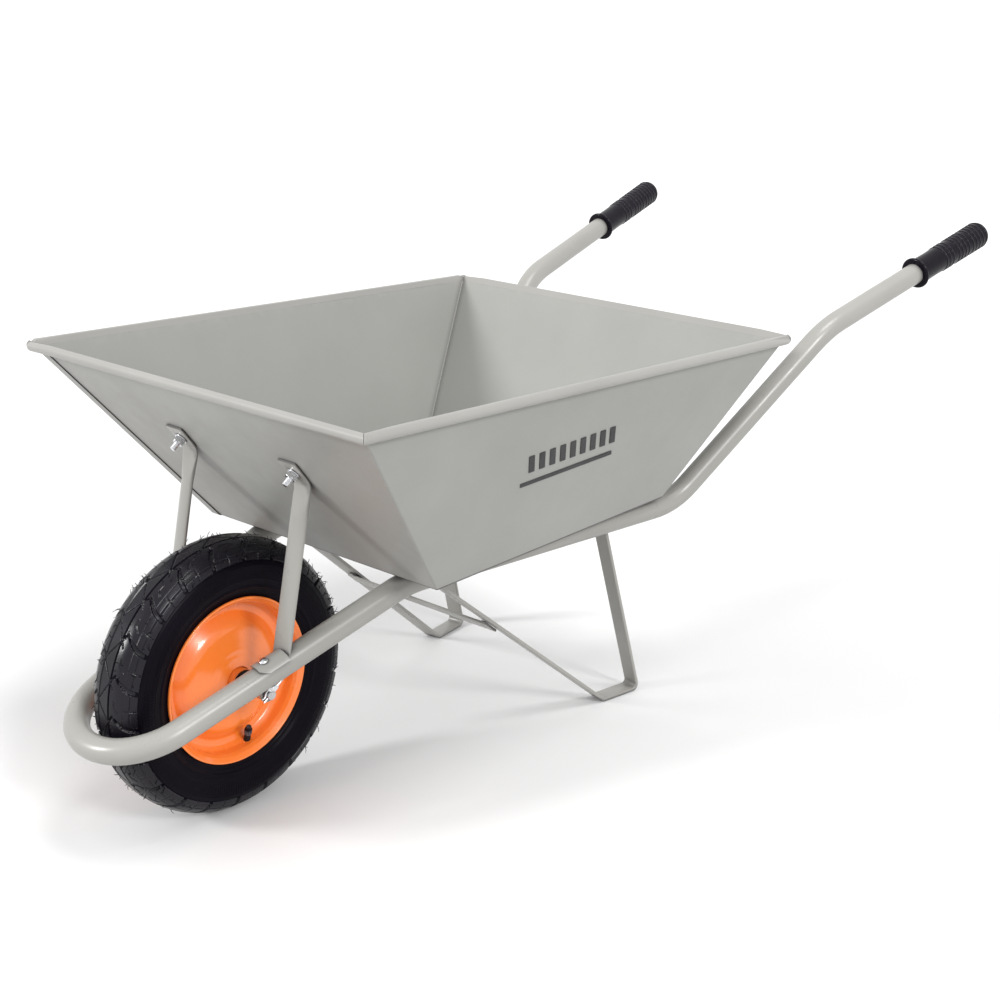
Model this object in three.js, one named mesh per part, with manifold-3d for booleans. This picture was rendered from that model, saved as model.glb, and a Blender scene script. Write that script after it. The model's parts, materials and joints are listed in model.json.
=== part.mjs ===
// Builder's wheelbarrow: a sheet-steel tray on one bent tube, one pneumatic wheel, two strap legs.
// Millimetres. +X points forward to the wheel, +Y to the left, +Z up, and the floor is z = 0.
// Everything is drawn with x measured from the wheel's axle, and AXLE_X then shifts it all, so that
// the origin lies on the floor under the middle of the whole barrow.
import * as THREE from 'three';
import { mergeVertices } from 'three/addons/utils/BufferGeometryUtils.js';
import Module from 'manifold-3d';

const wasm = await Module();
wasm.setup();

// ---------------------------------------------------------------- driving dimensions
const AXLE_X = 540.5;
const GAP = 0.3;
const SIDES = { left: 1, right: -1 };

// Frame tube, 1 1/4 inch, and the corners of its left half's centre line.
const TUBE_R = 31.75 / 2;
const TUBE_WALL = 1.8;
const GRIP_START = new THREE.Vector3(-1124, 307, 556);
const HANDLE_BEND = new THREE.Vector3(-914, 284, 503);
const REAR_BEND = new THREE.Vector3(-649, 212, 287.4);
const FRONT_BEND = new THREE.Vector3(-191, 137, 280.6);
const LOOP_FRONT_X = 198;
const LOOP_SLOPE = -0.33;
const LOOP_RADIUS = 84;
const LOOP_HALF = 72.6;
const HANDLE_BEND_RADIUS = 150;
const REAR_BEND_RADIUS = 105;
const FRONT_BEND_RADIUS = 170;

// Grips.
const GRIP_LENGTH = 173;
const GRIP_FLANGE_R = 24.6;
const GRIP_R = 20.4;
const GRIP_WALL = 3;
const GRIP_SIDES = 16;

// Tray: inside the wired edge at the top, and its floor.
const SHEET = 1.2;
const RIM_FRONT = { x: 37, y: 308, z: 555 };
const RIM_REAR = { x: -774, y: 310, z: 517 };
const FLOOR_FRONT = { x: -167, y: 214, z: 297 };
const FLOOR_REAR = { x: -603, y: 226, z: 307.4 };
const BEAD_R = 6.75;
const BEAD_WALL = 1.6;
const RIM_CORNER_R = 8.5;
const RIM_INSET = 3.5;
const RIM_SPLIT = 0.5;
const SHEET_BELOW_RIM = 5.4;
const LAP = 17;
const MITRE_OVERLAP = 0.02;

// Wheel: 3.25-8 tyre on an 8 inch pressed rim.
const TYRE_R = 178;
const TYRE_HALF = 40;
const BEAD_SEAT_R = 101;
const FLANGE_R = 108.5;
const FLANGE_Y = 34.5;
const RIM_SHEET = 2;
const WHEEL_SIDES = 30;
const HUB_R = 17.5;
const HUB_BORE_R = 13.5;
const HUB_HALF = 42;
const BUSH_FLANGE_R = 17.3;
const BUSH_FLANGE = 3;
const BUSH_DEPTH = 24;
const AXLE_R = 6;
const AXLE_HALF = 96;
const VALVE_ANGLE = THREE.MathUtils.degToRad(257);
const VALVE_R = 4;

// Axle brackets and the clips through the axle's ends.
const BRACKET = 4;
const BRACKET_HALF_WIDTH = 11;
const BRACKET_OUT_Y = 88;
const CLIP_WIRE_R = 1.4;
const CLIP_Y = 91.6;

// Straps: the legs, the brace between them, and the struts up to the tray.
const LEG_WIDTH = 25.4;
const LEG_THICK = 4.8;
const FOOT_FRONT_X = -549;
const FOOT_REAR_X = -618;
const LEG_TOP_Z = 288;
const LEG_DIAGONAL_SLOPE = 0.868;
const LEG_UPRIGHT_LEAN = 0.266;
const LEG_BEND_R = 8;
const BRACE_WIDTH = 25.4;
const BRACE_THICK = 3.2;
const BRACE_ALONG = 258;
const BRACE_INSET = 12;
const STRUT_WIDTH = 25.4;
const STRUT_THICK = 3.2;
const STRUT_Y = 105.5;
const STRUT_FOOT = { x: -9, z: 233 };
const STRUT_KNEE_Z = 440;
const STRUT_TONGUE = 41;
const STRUT_BEND_R = 20;
const SADDLE_LENGTH = 40;
const SADDLE_STEPS = 6;
const SADDLE_ARC = THREE.MathUtils.degToRad(56);

// Fasteners, M8.
const BOLT_R = 4;
const HOLE_R = BOLT_R + GAP;
const NUT_R = 7.5;
const NUT_H = 6.5;
const WASHER_R = 8.5;
const WASHER_H = 1.6;
const STRUT_BOLT_UP = 21;
const SADDLE_BOLT_FORWARD = 21;

// ---------------------------------------------------------------- materials
const paint = () => new THREE.MeshStandardMaterial({ color: 0xa9a9a2, roughness: 0.45, metalness: 0.3 });
const zinc = () => new THREE.MeshStandardMaterial({ color: 0xc9cbd0, roughness: 0.25, metalness: 0.9 });
const rubber = () => new THREE.MeshStandardMaterial({ color: 0x26242a, roughness: 0.75, metalness: 0 });
const plastic = () => new THREE.MeshStandardMaterial({ color: 0x1c1b1f, roughness: 0.5, metalness: 0 });
const orange = () => new THREE.MeshStandardMaterial({ color: 0xe8702a, roughness: 0.3, metalness: 0.1 });
const steel = () => new THREE.MeshStandardMaterial({ color: 0x9a9aa0, roughness: 0.35, metalness: 0.9 });

// ---------------------------------------------------------------- helpers
const v2 = (x, y) => new THREE.Vector2(x, y);
const v3 = (x, y, z) => new THREE.Vector3(x, y, z);

// Six times the signed volume; negative when the faces point in.
function signedVolume(geometry) {
  const p = geometry.attributes.position;
  const index = geometry.index.array;
  const [a, b, c] = [v3(), v3(), v3()];
  let sum = 0;
  for (let i = 0; i < index.length; i += 3) {
    a.fromBufferAttribute(p, index[i]);
    b.fromBufferAttribute(p, index[i + 1]);
    c.fromBufferAttribute(p, index[i + 2]);
    sum += a.dot(b.cross(c));
  }
  return sum;
}

// Only positions, shared corners merged, faces pointing out.
function closed(geometry) {
  const bare = geometry.clone();
  bare.deleteAttribute('normal');
  bare.deleteAttribute('uv');
  const merged = mergeVertices(bare, 1e-3);
  if (signedVolume(merged) < 0) {
    const index = merged.index.array;
    for (let i = 0; i < index.length; i += 3) {
      [index[i], index[i + 1]] = [index[i + 1], index[i]];
    }
  }
  return merged;
}

function toSolid(geometry) {
  const g = closed(geometry);
  const vertProperties = new Float32Array(g.attributes.position.array);
  const triVerts = new Uint32Array(g.index.array);
  return new wasm.Manifold(new wasm.Mesh({ numProp: 3, vertProperties, triVerts }));
}

function fromSolid(solid) {
  const mesh = solid.getMesh();
  const geometry = new THREE.BufferGeometry();
  geometry.setAttribute('position', new THREE.BufferAttribute(new Float32Array(mesh.vertProperties), 3));
  geometry.setIndex(new THREE.BufferAttribute(new Uint32Array(mesh.triVerts), 1));
  return geometry;
}

const join = (first, ...rest) =>
  fromSolid(rest.reduce((solid, g) => solid.add(toSolid(g)), toSolid(first)));
const cut = (first, ...tools) =>
  fromSolid(tools.reduce((solid, g) => solid.subtract(toSolid(g)), toSolid(first)));

// A ring or disc about the Y axis from a closed outline of (radius, y) points.
function turned(points, segments) {
  const ring = [...points];
  if (points[0].x > 0) {
    ring.push(points[0].clone());
  }
  return closed(new THREE.LatheGeometry(ring, segments));
}

const tubeOutline = (outer, inner, half) =>
  [v2(inner, -half), v2(outer, -half), v2(outer, half), v2(inner, half)];

// A plain cylinder along a direction, from one point, of the given length.
function rod(from, direction, length, radius, sides = 16) {
  const geometry = new THREE.CylinderGeometry(radius, radius, length, sides);
  geometry.translate(0, length / 2, 0);
  const turn = new THREE.Quaternion().setFromUnitVectors(v3(0, 1, 0), direction.clone().normalize());
  geometry.applyQuaternion(turn);
  geometry.translate(from.x, from.y, from.z);
  return geometry;
}

// Stations along a chain of corners, each corner rounded to its own radius.
function roundedStations(corners, radii, steps) {
  const stations = [corners[0].clone()];
  for (let i = 1; i < corners.length - 1; i += 1) {
    const inward = corners[i - 1].clone().sub(corners[i]).normalize();
    const outward = corners[i + 1].clone().sub(corners[i]).normalize();
    const half = inward.angleTo(outward) / 2;
    const reach = radii[i - 1] / Math.tan(half);
    const middle = inward.clone().add(outward).normalize();
    const centre = corners[i].clone().addScaledVector(middle, radii[i - 1] / Math.sin(half));
    const start = corners[i].clone().addScaledVector(inward, reach).sub(centre);
    const axis = inward.clone().cross(outward).normalize();
    const sweep = Math.PI - 2 * half;
    for (let k = 0; k <= steps[i - 1]; k += 1) {
      const turn = (-sweep * k) / steps[i - 1];
      stations.push(start.clone().applyAxisAngle(axis, turn).add(centre));
    }
  }
  stations.push(corners[corners.length - 1].clone());
  return stations;
}

// A path that an extrusion follows station by station.
class StationPath extends THREE.Curve {
  constructor(stations) {
    super();
    this.stations = stations.filter((s, i) => i === 0 || s.distanceTo(stations[i - 1]) > 0.05);
  }

  get steps() {
    return this.stations.length - 1;
  }

  getPoint(t, target = v3()) {
    return target.copy(this.stations[Math.round(t * this.steps)]);
  }

  getPointAt(u, target) {
    return this.getPoint(u, target);
  }

  getTangentAt(u, target = v3()) {
    const i = Math.round(u * this.steps);
    const here = this.stations[i];
    target.set(0, 0, 0);
    if (i > 0) {
      target.add(here.clone().sub(this.stations[i - 1]).normalize());
    }
    if (i < this.steps) {
      target.add(this.stations[i + 1].clone().sub(here).normalize());
    }
    return target.normalize();
  }
}

function ringShape(outer, outerSides, inner, innerSides) {
  const circle = (radius, sides) => Array.from({ length: sides }, (_, i) => {
    const turn = (2 * Math.PI * (i + 0.5)) / sides;
    return v2(radius * Math.cos(turn), radius * Math.sin(turn));
  });
  const shape = new THREE.Shape(circle(outer, outerSides));
  if (inner) {
    shape.holes.push(new THREE.Path(circle(inner, innerSides).reverse()));
  }
  return shape;
}

function swept(shape, stations) {
  const path = new StationPath(stations);
  const options = { steps: path.steps, extrudePath: path, bevelEnabled: false };
  return closed(new THREE.ExtrudeGeometry(shape, options));
}

// A flat bar bent in the XZ plane along the given corners, its width centred on y = 0.
function bentStrap(corners, radii, thick, width, steps = 5) {
  const line = roundedStations(corners.map((c) => v3(c.x, c.y, 0)), radii, radii.map(() => steps));
  const path = new StationPath(line);
  const side = (sign) => path.stations.map((s, i) => {
    const along = path.getTangentAt(i / path.steps);
    return v2(s.x - (sign * along.y * thick) / 2, s.y + (sign * along.x * thick) / 2);
  });
  const shape = new THREE.Shape([...side(1), ...side(-1).reverse()]);
  const geometry = new THREE.ExtrudeGeometry(shape, { depth: width, bevelEnabled: false });
  geometry.rotateX(Math.PI / 2);
  geometry.translate(0, width / 2, 0);
  return closed(geometry);
}

// A six-sided block from its four outer and four inner corners, both listed the same way round.
function block(outer, inner) {
  const corners = [...outer, ...inner];
  const faces = [[0, 1, 2, 3], [7, 6, 5, 4], [1, 0, 4, 5], [2, 1, 5, 6], [3, 2, 6, 7], [0, 3, 7, 4]];
  const geometry = new THREE.BufferGeometry();
  const positions = corners.flatMap((c) => [c.x, c.y, c.z]);
  geometry.setAttribute('position', new THREE.Float32BufferAttribute(positions, 3));
  geometry.setIndex(faces.flatMap(([a, b, c, d]) => [a, b, c, a, c, d]));
  return closed(geometry);
}

// The point where three planes meet.
function meet(a, b, c) {
  const bc = b.normal.clone().cross(c.normal);
  const ca = c.normal.clone().cross(a.normal);
  const ab = a.normal.clone().cross(b.normal);
  const scale = -1 / a.normal.dot(bc);
  return bc.multiplyScalar(a.constant).add(ca.multiplyScalar(b.constant))
    .add(ab.multiplyScalar(c.constant)).multiplyScalar(scale);
}

const shifted = (plane, outward) => new THREE.Plane(plane.normal.clone(), plane.constant - outward);

const part = new THREE.Group();
part.position.x = AXLE_X;

function addMesh(name, geometry, material, parent = part) {
  const mesh = new THREE.Mesh(geometry, material);
  mesh.name = name;
  parent.add(mesh);
  return mesh;
}

function sideGroup(x, y, turn) {
  const group = new THREE.Group();
  group.position.set(x, y, 0);
  group.rotation.z = turn;
  part.add(group);
  return group;
}

const mirrored = (v, sign) => v3(v.x, v.y * sign, v.z);

// ---------------------------------------------------------------- frame tube and grips
const loopZ = (x) => FRONT_BEND.z + LOOP_SLOPE * (x - FRONT_BEND.x);
const loopCorner = v3(LOOP_FRONT_X, LOOP_HALF, loopZ(LOOP_FRONT_X));
const handleDirection = GRIP_START.clone().sub(HANDLE_BEND).normalize();
const tubeEnd = GRIP_START.clone().addScaledVector(handleDirection, GRIP_LENGTH - GRIP_WALL - 2);

// The front part of the tube on one side, running forward and down from the front bend.
function frontRun(sign) {
  const along = mirrored(loopCorner, sign).sub(mirrored(FRONT_BEND, sign)).normalize();
  const across = v3(0, sign, 0).addScaledVector(along, -sign * along.y).normalize();
  const up = along.clone().cross(across).multiplyScalar(sign);
  const atAxle = mirrored(FRONT_BEND, sign).addScaledVector(along, -FRONT_BEND.x / along.x);
  return { along, across, up, atAxle };
}

// The bolt that holds a strut's saddle runs through the tube at right angles.
function saddleBolt(sign) {
  const { along, up, atAxle } = frontRun(sign);
  const middle = atAxle.clone().addScaledVector(along, (STRUT_FOOT.x + SADDLE_BOLT_FORWARD) / along.x);
  return { middle, up };
}

function frameTube() {
  const left = [tubeEnd, HANDLE_BEND, REAR_BEND, FRONT_BEND, loopCorner];
  const corners = [...left, ...left.map((c) => mirrored(c, -1)).reverse()];
  const half = [HANDLE_BEND_RADIUS, REAR_BEND_RADIUS, FRONT_BEND_RADIUS, LOOP_RADIUS];
  const steps = [3, 4, 3, 8];
  const line = roundedStations(corners, [...half, ...half.toReversed()], [...steps, ...steps.toReversed()]);
  const tube = swept(ringShape(TUBE_R, 12, TUBE_R - TUBE_WALL, 8), line);
  const holes = Object.values(SIDES).map((sign) => {
    const { middle, up } = saddleBolt(sign);
    return rod(middle.clone().addScaledVector(up, -2 * TUBE_R), up, 4 * TUBE_R, HOLE_R, 12);
  });
  return cut(tube, ...holes);
}

// A moulded sleeve with a stop flange round its mouth, a swelling hand hold and a rounded, closed end.
function grip() {
  const bore = (TUBE_R + GAP) / Math.cos(Math.PI / GRIP_SIDES);
  const outline = [
    v2(bore, 0),
    v2(GRIP_FLANGE_R - 1.5, 0),
    v2(GRIP_FLANGE_R, 1.5),
    v2(GRIP_FLANGE_R, 4),
    v2(GRIP_R, 7),
    v2(GRIP_R - 0.6, 45),
    v2(GRIP_R + 0.6, 90),
    v2(GRIP_R + 1.2, GRIP_LENGTH - 12),
    v2(GRIP_R - 0.5, GRIP_LENGTH - 4),
    v2(GRIP_R - 5, GRIP_LENGTH),
    v2(0, GRIP_LENGTH),
  ];
  const inside = [v2(0, GRIP_LENGTH - GRIP_WALL), v2(bore, GRIP_LENGTH - GRIP_WALL)];
  return closed(new THREE.LatheGeometry([...inside, ...outline], GRIP_SIDES));
}

addMesh('frame_tube', frameTube(), paint());
for (const [side, sign] of Object.entries(SIDES)) {
  const mesh = addMesh(`grip_${side}`, grip(), plastic());
  mesh.position.copy(mirrored(GRIP_START, sign));
  mesh.quaternion.setFromUnitVectors(v3(0, 1, 0), mirrored(handleDirection, sign));
}

// ---------------------------------------------------------------- tray
// Outer faces of the tray: each is a plane, and neighbours meet along the folded corners.
const frontFace = new THREE.Plane().setFromCoplanarPoints(
  v3(RIM_FRONT.x - RIM_INSET, 1, RIM_FRONT.z), v3(RIM_FRONT.x - RIM_INSET, -1, RIM_FRONT.z),
  v3(FLOOR_FRONT.x, 0, FLOOR_FRONT.z));
const rearFace = new THREE.Plane().setFromCoplanarPoints(
  v3(RIM_REAR.x + RIM_INSET, -1, RIM_REAR.z), v3(RIM_REAR.x + RIM_INSET, 1, RIM_REAR.z),
  v3(FLOOR_REAR.x, 0, FLOOR_REAR.z));
const sideFace = (sign) => {
  const top = v3(RIM_FRONT.x, sign * (RIM_FRONT.y - RIM_INSET), RIM_FRONT.z);
  const low = v3(FLOOR_FRONT.x, sign * FLOOR_FRONT.y, FLOOR_FRONT.z);
  const back = v3(FLOOR_REAR.x, sign * FLOOR_REAR.y, FLOOR_REAR.z);
  return sign > 0
    ? new THREE.Plane().setFromCoplanarPoints(top, back, low)
    : new THREE.Plane().setFromCoplanarPoints(top, low, back);
};
const floorUnder = new THREE.Plane().setFromCoplanarPoints(
  v3(FLOOR_FRONT.x, 1, FLOOR_FRONT.z), v3(FLOOR_FRONT.x, -1, FLOOR_FRONT.z),
  v3(FLOOR_REAR.x, 0, FLOOR_REAR.z));
const rimLine = new THREE.Plane().setFromCoplanarPoints(
  v3(RIM_FRONT.x, 1, RIM_FRONT.z), v3(RIM_REAR.x, 0, RIM_REAR.z), v3(RIM_FRONT.x, -1, RIM_FRONT.z));
for (const plane of [frontFace, rearFace, floorUnder, rimLine]) {
  const middle = v3((FLOOR_FRONT.x + FLOOR_REAR.x) / 2, 0, (RIM_REAR.z + FLOOR_FRONT.z) / 2);
  if (plane.distanceToPoint(middle) > 0) {
    plane.negate();
  }
}
const leftFace = sideFace(1);
const rightFace = sideFace(-1);
for (const plane of [leftFace, rightFace]) {
  if (plane.distanceToPoint(v3(FLOOR_FRONT.x, 0, RIM_REAR.z)) > 0) {
    plane.negate();
  }
}
const sheetTop = shifted(rimLine, -SHEET_BELOW_RIM);

// One wall of sheet between two end planes.
function wall(face, endA, endB, outset = 0, top = sheetTop) {
  const outside = shifted(face, outset);
  const inside = shifted(face, outset - SHEET);
  const corners = (plane) => [
    meet(plane, endA, top), meet(plane, endB, top),
    meet(plane, endB, floorUnder), meet(plane, endA, floorUnder),
  ];
  return block(corners(outside), corners(inside));
}

// A folded corner: the two walls meet on a mitre plane through its outer and inner edges, and each runs
// a hair past it so that they join into one sheet.
function mitre(faceA, faceB) {
  const edge = (depth, level) => meet(shifted(faceA, -depth), shifted(faceB, -depth), level);
  const plane = new THREE.Plane().setFromCoplanarPoints(
    edge(0, sheetTop), edge(SHEET, sheetTop), edge(0, floorUnder));
  if (plane.normal.dot(faceB.normal) < 0) {
    plane.negate();
  }
  return { endA: shifted(plane, MITRE_OVERLAP), endB: shifted(plane, -MITRE_OVERLAP) };
}

// A lap strip that turns the corner and lies on the outside of the neighbouring wall.
function lapped(face, neighbour, outset) {
  const lapEnd = shifted(face, -LAP);
  const outer = shifted(neighbour, outset + SHEET);
  const strip = wall(neighbour, face, lapEnd, outset + SHEET);
  const turn = wall(face, outer, shifted(neighbour, -4 * SHEET));
  return [strip, turn];
}

function strutBoltPlace(sign) {
  const inFace = frontFace.normal.clone().cross(v3(0, 1, 0));
  const knee = meet(frontFace, new THREE.Plane(v3(0, 0, 1), -STRUT_KNEE_Z), new THREE.Plane(v3(0, 1, 0), 0));
  const place = knee.addScaledVector(inFace, STRUT_BOLT_UP);
  place.y = sign * STRUT_Y;
  return { place, inFace, outward: frontFace.normal.clone() };
}

const strutBoltHoles = () => Object.values(SIDES).map((sign) => {
  const { place, outward } = strutBoltPlace(sign);
  return rod(place.clone().addScaledVector(outward, -10), outward, 20, HOLE_R, 12);
});

function trayFrontLeft() {
  const corner = mitre(frontFace, leftFace);
  const front = wall(frontFace, corner.endA, shifted(rightFace, -SHEET - GAP));
  const left = wall(leftFace, shifted(rearFace, -SHEET), corner.endB);
  return cut(join(front, left, ...lapped(leftFace, rearFace, GAP)), ...strutBoltHoles());
}

function trayRearRight() {
  const corner = mitre(rearFace, rightFace);
  const rear = wall(rearFace, shifted(leftFace, -SHEET - GAP), corner.endA);
  const right = wall(rightFace, corner.endB, shifted(frontFace, -SHEET));
  return join(rear, right, ...lapped(rightFace, frontFace, GAP));
}

function trayFloor() {
  const [front, left, rear, right] = [frontFace, leftFace, rearFace, rightFace]
    .map((face) => shifted(face, -SHEET - GAP));
  const corners = (level) => [
    meet(front, left, level), meet(front, right, level), meet(rear, right, level), meet(rear, left, level),
  ];
  return block(corners(floorUnder), corners(shifted(floorUnder, -SHEET)));
}

// The top edge is a hollow round bead that runs all the way round, split beside the left front corner.
function trayRim() {
  const corner = (rim, sign) => v3(rim.x, sign * rim.y, rim.z);
  const backward = corner(RIM_REAR, 1).sub(corner(RIM_FRONT, 1)).normalize();
  const split = corner(RIM_FRONT, 1).addScaledVector(backward, RIM_CORNER_R + 2);
  const loop = [
    split.clone().addScaledVector(backward, RIM_SPLIT), corner(RIM_REAR, 1), corner(RIM_REAR, -1),
    corner(RIM_FRONT, -1), corner(RIM_FRONT, 1), split,
  ];
  const line = roundedStations(loop, [1, 1, 1, 1].map(() => RIM_CORNER_R), [4, 4, 4, 4]);
  return swept(ringShape(BEAD_R, 10, BEAD_R - BEAD_WALL, 6), line);
}

addMesh('tray_sheet_front_left', trayFrontLeft(), paint());
addMesh('tray_sheet_rear_right', trayRearRight(), paint());
addMesh('tray_floor', trayFloor(), paint());
addMesh('tray_rim_bead', trayRim(), paint());

// ---------------------------------------------------------------- legs and brace
// Each leg is one flat bar, bent and welded along the inside of the tube's straight run.
const runTurn = Math.atan2(REAR_BEND.y - FRONT_BEND.y, FRONT_BEND.x - REAR_BEND.x);
const legInset = TUBE_R + GAP + LEG_WIDTH / 2;
const alongRun = (x) => (x - FRONT_BEND.x + legInset * Math.sin(runTurn)) / Math.cos(runTurn);

function leg() {
  const under = [
    v2(FOOT_FRONT_X + LEG_TOP_Z / LEG_DIAGONAL_SLOPE, LEG_TOP_Z),
    v2(FOOT_FRONT_X, 0),
    v2(FOOT_REAR_X, 0),
    v2(FOOT_REAR_X + LEG_TOP_Z * LEG_UPRIGHT_LEAN, LEG_TOP_Z),
  ].map((c) => v2(alongRun(c.x), c.y));
  return bentStrap(middleOf(under, LEG_THICK / 2), [LEG_BEND_R, LEG_BEND_R], LEG_THICK, LEG_WIDTH);
}

// Moves a chain of corners sideways by a distance, to the right of its direction of travel.
function middleOf(corners, distance) {
  const normals = corners.slice(1).map((c, i) => {
    const along = c.clone().sub(corners[i]).normalize();
    return v2(along.y, -along.x);
  });
  return corners.map((c, i) => {
    const before = normals[Math.max(i - 1, 0)];
    const after = normals[Math.min(i, normals.length - 1)];
    const sum = before.clone().add(after);
    return c.clone().addScaledVector(sum, (2 * distance) / sum.lengthSq());
  });
}

for (const [side, sign] of Object.entries(SIDES)) {
  const group = sideGroup(FRONT_BEND.x, sign * FRONT_BEND.y, -sign * runTurn);
  const mesh = addMesh(`leg_${side}`, leg(), paint(), group);
  mesh.position.y = -sign * legInset;
}

// The brace lies across the fronts of the two diagonals, on a slant with them.
function crossBrace() {
  const slope = Math.atan(LEG_DIAGONAL_SLOPE);
  const skew = (LEG_WIDTH / 2) * Math.sin(runTurn) * Math.sin(slope);
  const lift = -(GAP + BRACE_THICK / 2 + skew);
  const x = FOOT_FRONT_X + BRACE_ALONG * Math.cos(slope) - lift * Math.sin(slope);
  const z = BRACE_ALONG * Math.sin(slope) + lift * Math.cos(slope);
  const outerY = (at) => FRONT_BEND.y + (FRONT_BEND.x - at) * Math.tan(runTurn) - legInset + LEG_WIDTH / 2;
  const geometry = new THREE.BoxGeometry(BRACE_WIDTH, 2 * (outerY(x) - BRACE_INSET), BRACE_THICK);
  geometry.rotateY(-slope);
  geometry.translate(x, 0, z);
  return closed(geometry);
}

addMesh('leg_cross_brace', crossBrace(), paint());

// ---------------------------------------------------------------- struts and their fasteners
// The upright of a strut, bent back at the top to lie on the tray's front.
function strutPost(sign) {
  const { place, inFace, outward } = strutBoltPlace(1);
  const bolt = place.clone().addScaledVector(outward, GAP + STRUT_THICK / 2);
  const knee = bolt.clone().addScaledVector(inFace, -STRUT_BOLT_UP);
  const tip = knee.clone().addScaledVector(inFace, STRUT_TONGUE);
  const chain = [v2(tip.x, tip.z), v2(knee.x, knee.z), v2(STRUT_FOOT.x, STRUT_FOOT.z)];
  const post = bentStrap(chain, [STRUT_BEND_R], STRUT_THICK, STRUT_WIDTH, 4);
  post.translate(0, sign * STRUT_Y, 0);
  return post;
}

// The curved foot of a strut, which sits on the tube, with its heel just behind the upright.
function strutSaddle(sign) {
  const { along, across, up, atAxle } = frontRun(sign);
  const arc = (radius) => Array.from({ length: SADDLE_STEPS + 1 }, (_, i) => {
    const turn = SADDLE_ARC * ((2 * i) / SADDLE_STEPS - 1);
    return v2(radius * Math.sin(turn), radius * Math.cos(turn));
  });
  const inner = TUBE_R + GAP;
  const shape = new THREE.Shape([...arc(inner + STRUT_THICK), ...arc(inner).reverse()]);
  const saddle = new THREE.ExtrudeGeometry(shape, { depth: SADDLE_LENGTH, bevelEnabled: false });
  const heel = atAxle.clone().addScaledVector(along, (STRUT_FOOT.x - 4) / along.x);
  saddle.applyMatrix4(new THREE.Matrix4().makeBasis(across, up, along).setPosition(heel));
  return { saddle, room: rod(heel.clone().addScaledVector(along, -60), along, 160, inner, 20) };
}

function strut(sign) {
  const { saddle, room } = strutSaddle(sign);
  const low = saddleBolt(sign);
  const top = strutBoltPlace(sign);
  const lowHole = rod(low.middle, low.up, 2 * TUBE_R + 10, HOLE_R, 12);
  const topHole = rod(top.place.clone().addScaledVector(top.outward, -10), top.outward, 30, HOLE_R, 12);
  return cut(join(strutPost(sign), saddle), room, lowHole, topHole);
}

// A carriage bolt: domed head, plain shank. The origin is under the head, and +Y runs to the thread's end.
function bolt(length, headR = 9, headH = 4) {
  return turned([
    v2(0, -headH), v2(headR * 0.6, -headH * 0.8), v2(headR, -0.6), v2(headR, 0), v2(BOLT_R, 0),
    v2(BOLT_R, length - 1), v2(BOLT_R - 1, length), v2(0, length),
  ], 14);
}

function hexNut() {
  const shape = new THREE.Shape(Array.from({ length: 6 }, (_, i) =>
    v2(NUT_R * Math.cos((i * Math.PI) / 3), NUT_R * Math.sin((i * Math.PI) / 3))));
  shape.holes.push(ringShape(HOLE_R, 12));
  const geometry = new THREE.ExtrudeGeometry(shape, { depth: NUT_H, bevelEnabled: false });
  geometry.rotateX(-Math.PI / 2);
  return closed(geometry);
}

const washer = () => turned(tubeOutline(WASHER_R, HOLE_R, WASHER_H / 2), 16);

function placeAlong(mesh, from, direction, distance) {
  mesh.position.copy(from).addScaledVector(direction, distance);
  mesh.quaternion.setFromUnitVectors(v3(0, 1, 0), direction);
}

for (const [side, sign] of Object.entries(SIDES)) {
  addMesh(`strut_${side}`, strut(sign), paint());
  const top = strutBoltPlace(sign);
  const stack = STRUT_THICK + 2 * GAP;
  placeAlong(addMesh(`strut_bolt_${side}`, bolt(24), zinc()), top.place, top.outward, -SHEET - GAP);
  const washerAt = stack + WASHER_H / 2;
  placeAlong(addMesh(`strut_washer_${side}`, washer(), zinc()), top.place, top.outward, washerAt);
  placeAlong(addMesh(`strut_nut_${side}`, hexNut(), zinc()), top.place, top.outward, stack + WASHER_H + GAP);
  const low = saddleBolt(sign);
  const down = low.up.clone().negate();
  const headAt = -TUBE_R - STRUT_THICK - 2 * GAP;
  placeAlong(addMesh(`tube_bolt_${side}`, bolt(46, 7.5, 4), zinc()), low.middle, down, headAt);
  placeAlong(addMesh(`tube_nut_${side}`, hexNut(), zinc()), low.middle, down, TUBE_R + GAP);
}

// ---------------------------------------------------------------- wheel
const wheelCentre = v3(0, 0, TYRE_R);

function addWheelPart(name, geometry, material) {
  const mesh = addMesh(name, geometry, material);
  mesh.position.copy(wheelCentre);
  return mesh;
}

// Half of a section, then the same mirrored across the wheel's middle plane.
const bothHalves = (half) => [...half, ...half.map((c) => v2(c.x, -c.y)).reverse()];

function tyre() {
  const outside = [
    v2(TYRE_R, 9),
    v2(TYRE_R - 3.5, 22),
    v2(TYRE_R - 12, 33),
    v2(TYRE_R - 27, TYRE_HALF - 1),
    v2(TYRE_R - 41, TYRE_HALF),
    v2(TYRE_R - 56, 36.5),
    v2(FLANGE_R + 2.5, 31.5),
    v2(BEAD_SEAT_R + GAP + 1, 28.5),
  ];
  const inside = [
    v2(BEAD_SEAT_R + GAP, 20.5),
    v2(BEAD_SEAT_R + 10, 25),
    v2(TYRE_R - 56, 30.5),
    v2(TYRE_R - 38, 33),
    v2(TYRE_R - 20, 26),
    v2(TYRE_R - 10, 10),
  ];
  const section = [...outside, ...inside, ...inside.map((c) => v2(c.x, -c.y)).reverse(),
    ...outside.map((c) => v2(c.x, -c.y)).reverse()];
  return turned(section, WHEEL_SIDES);
}

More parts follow.
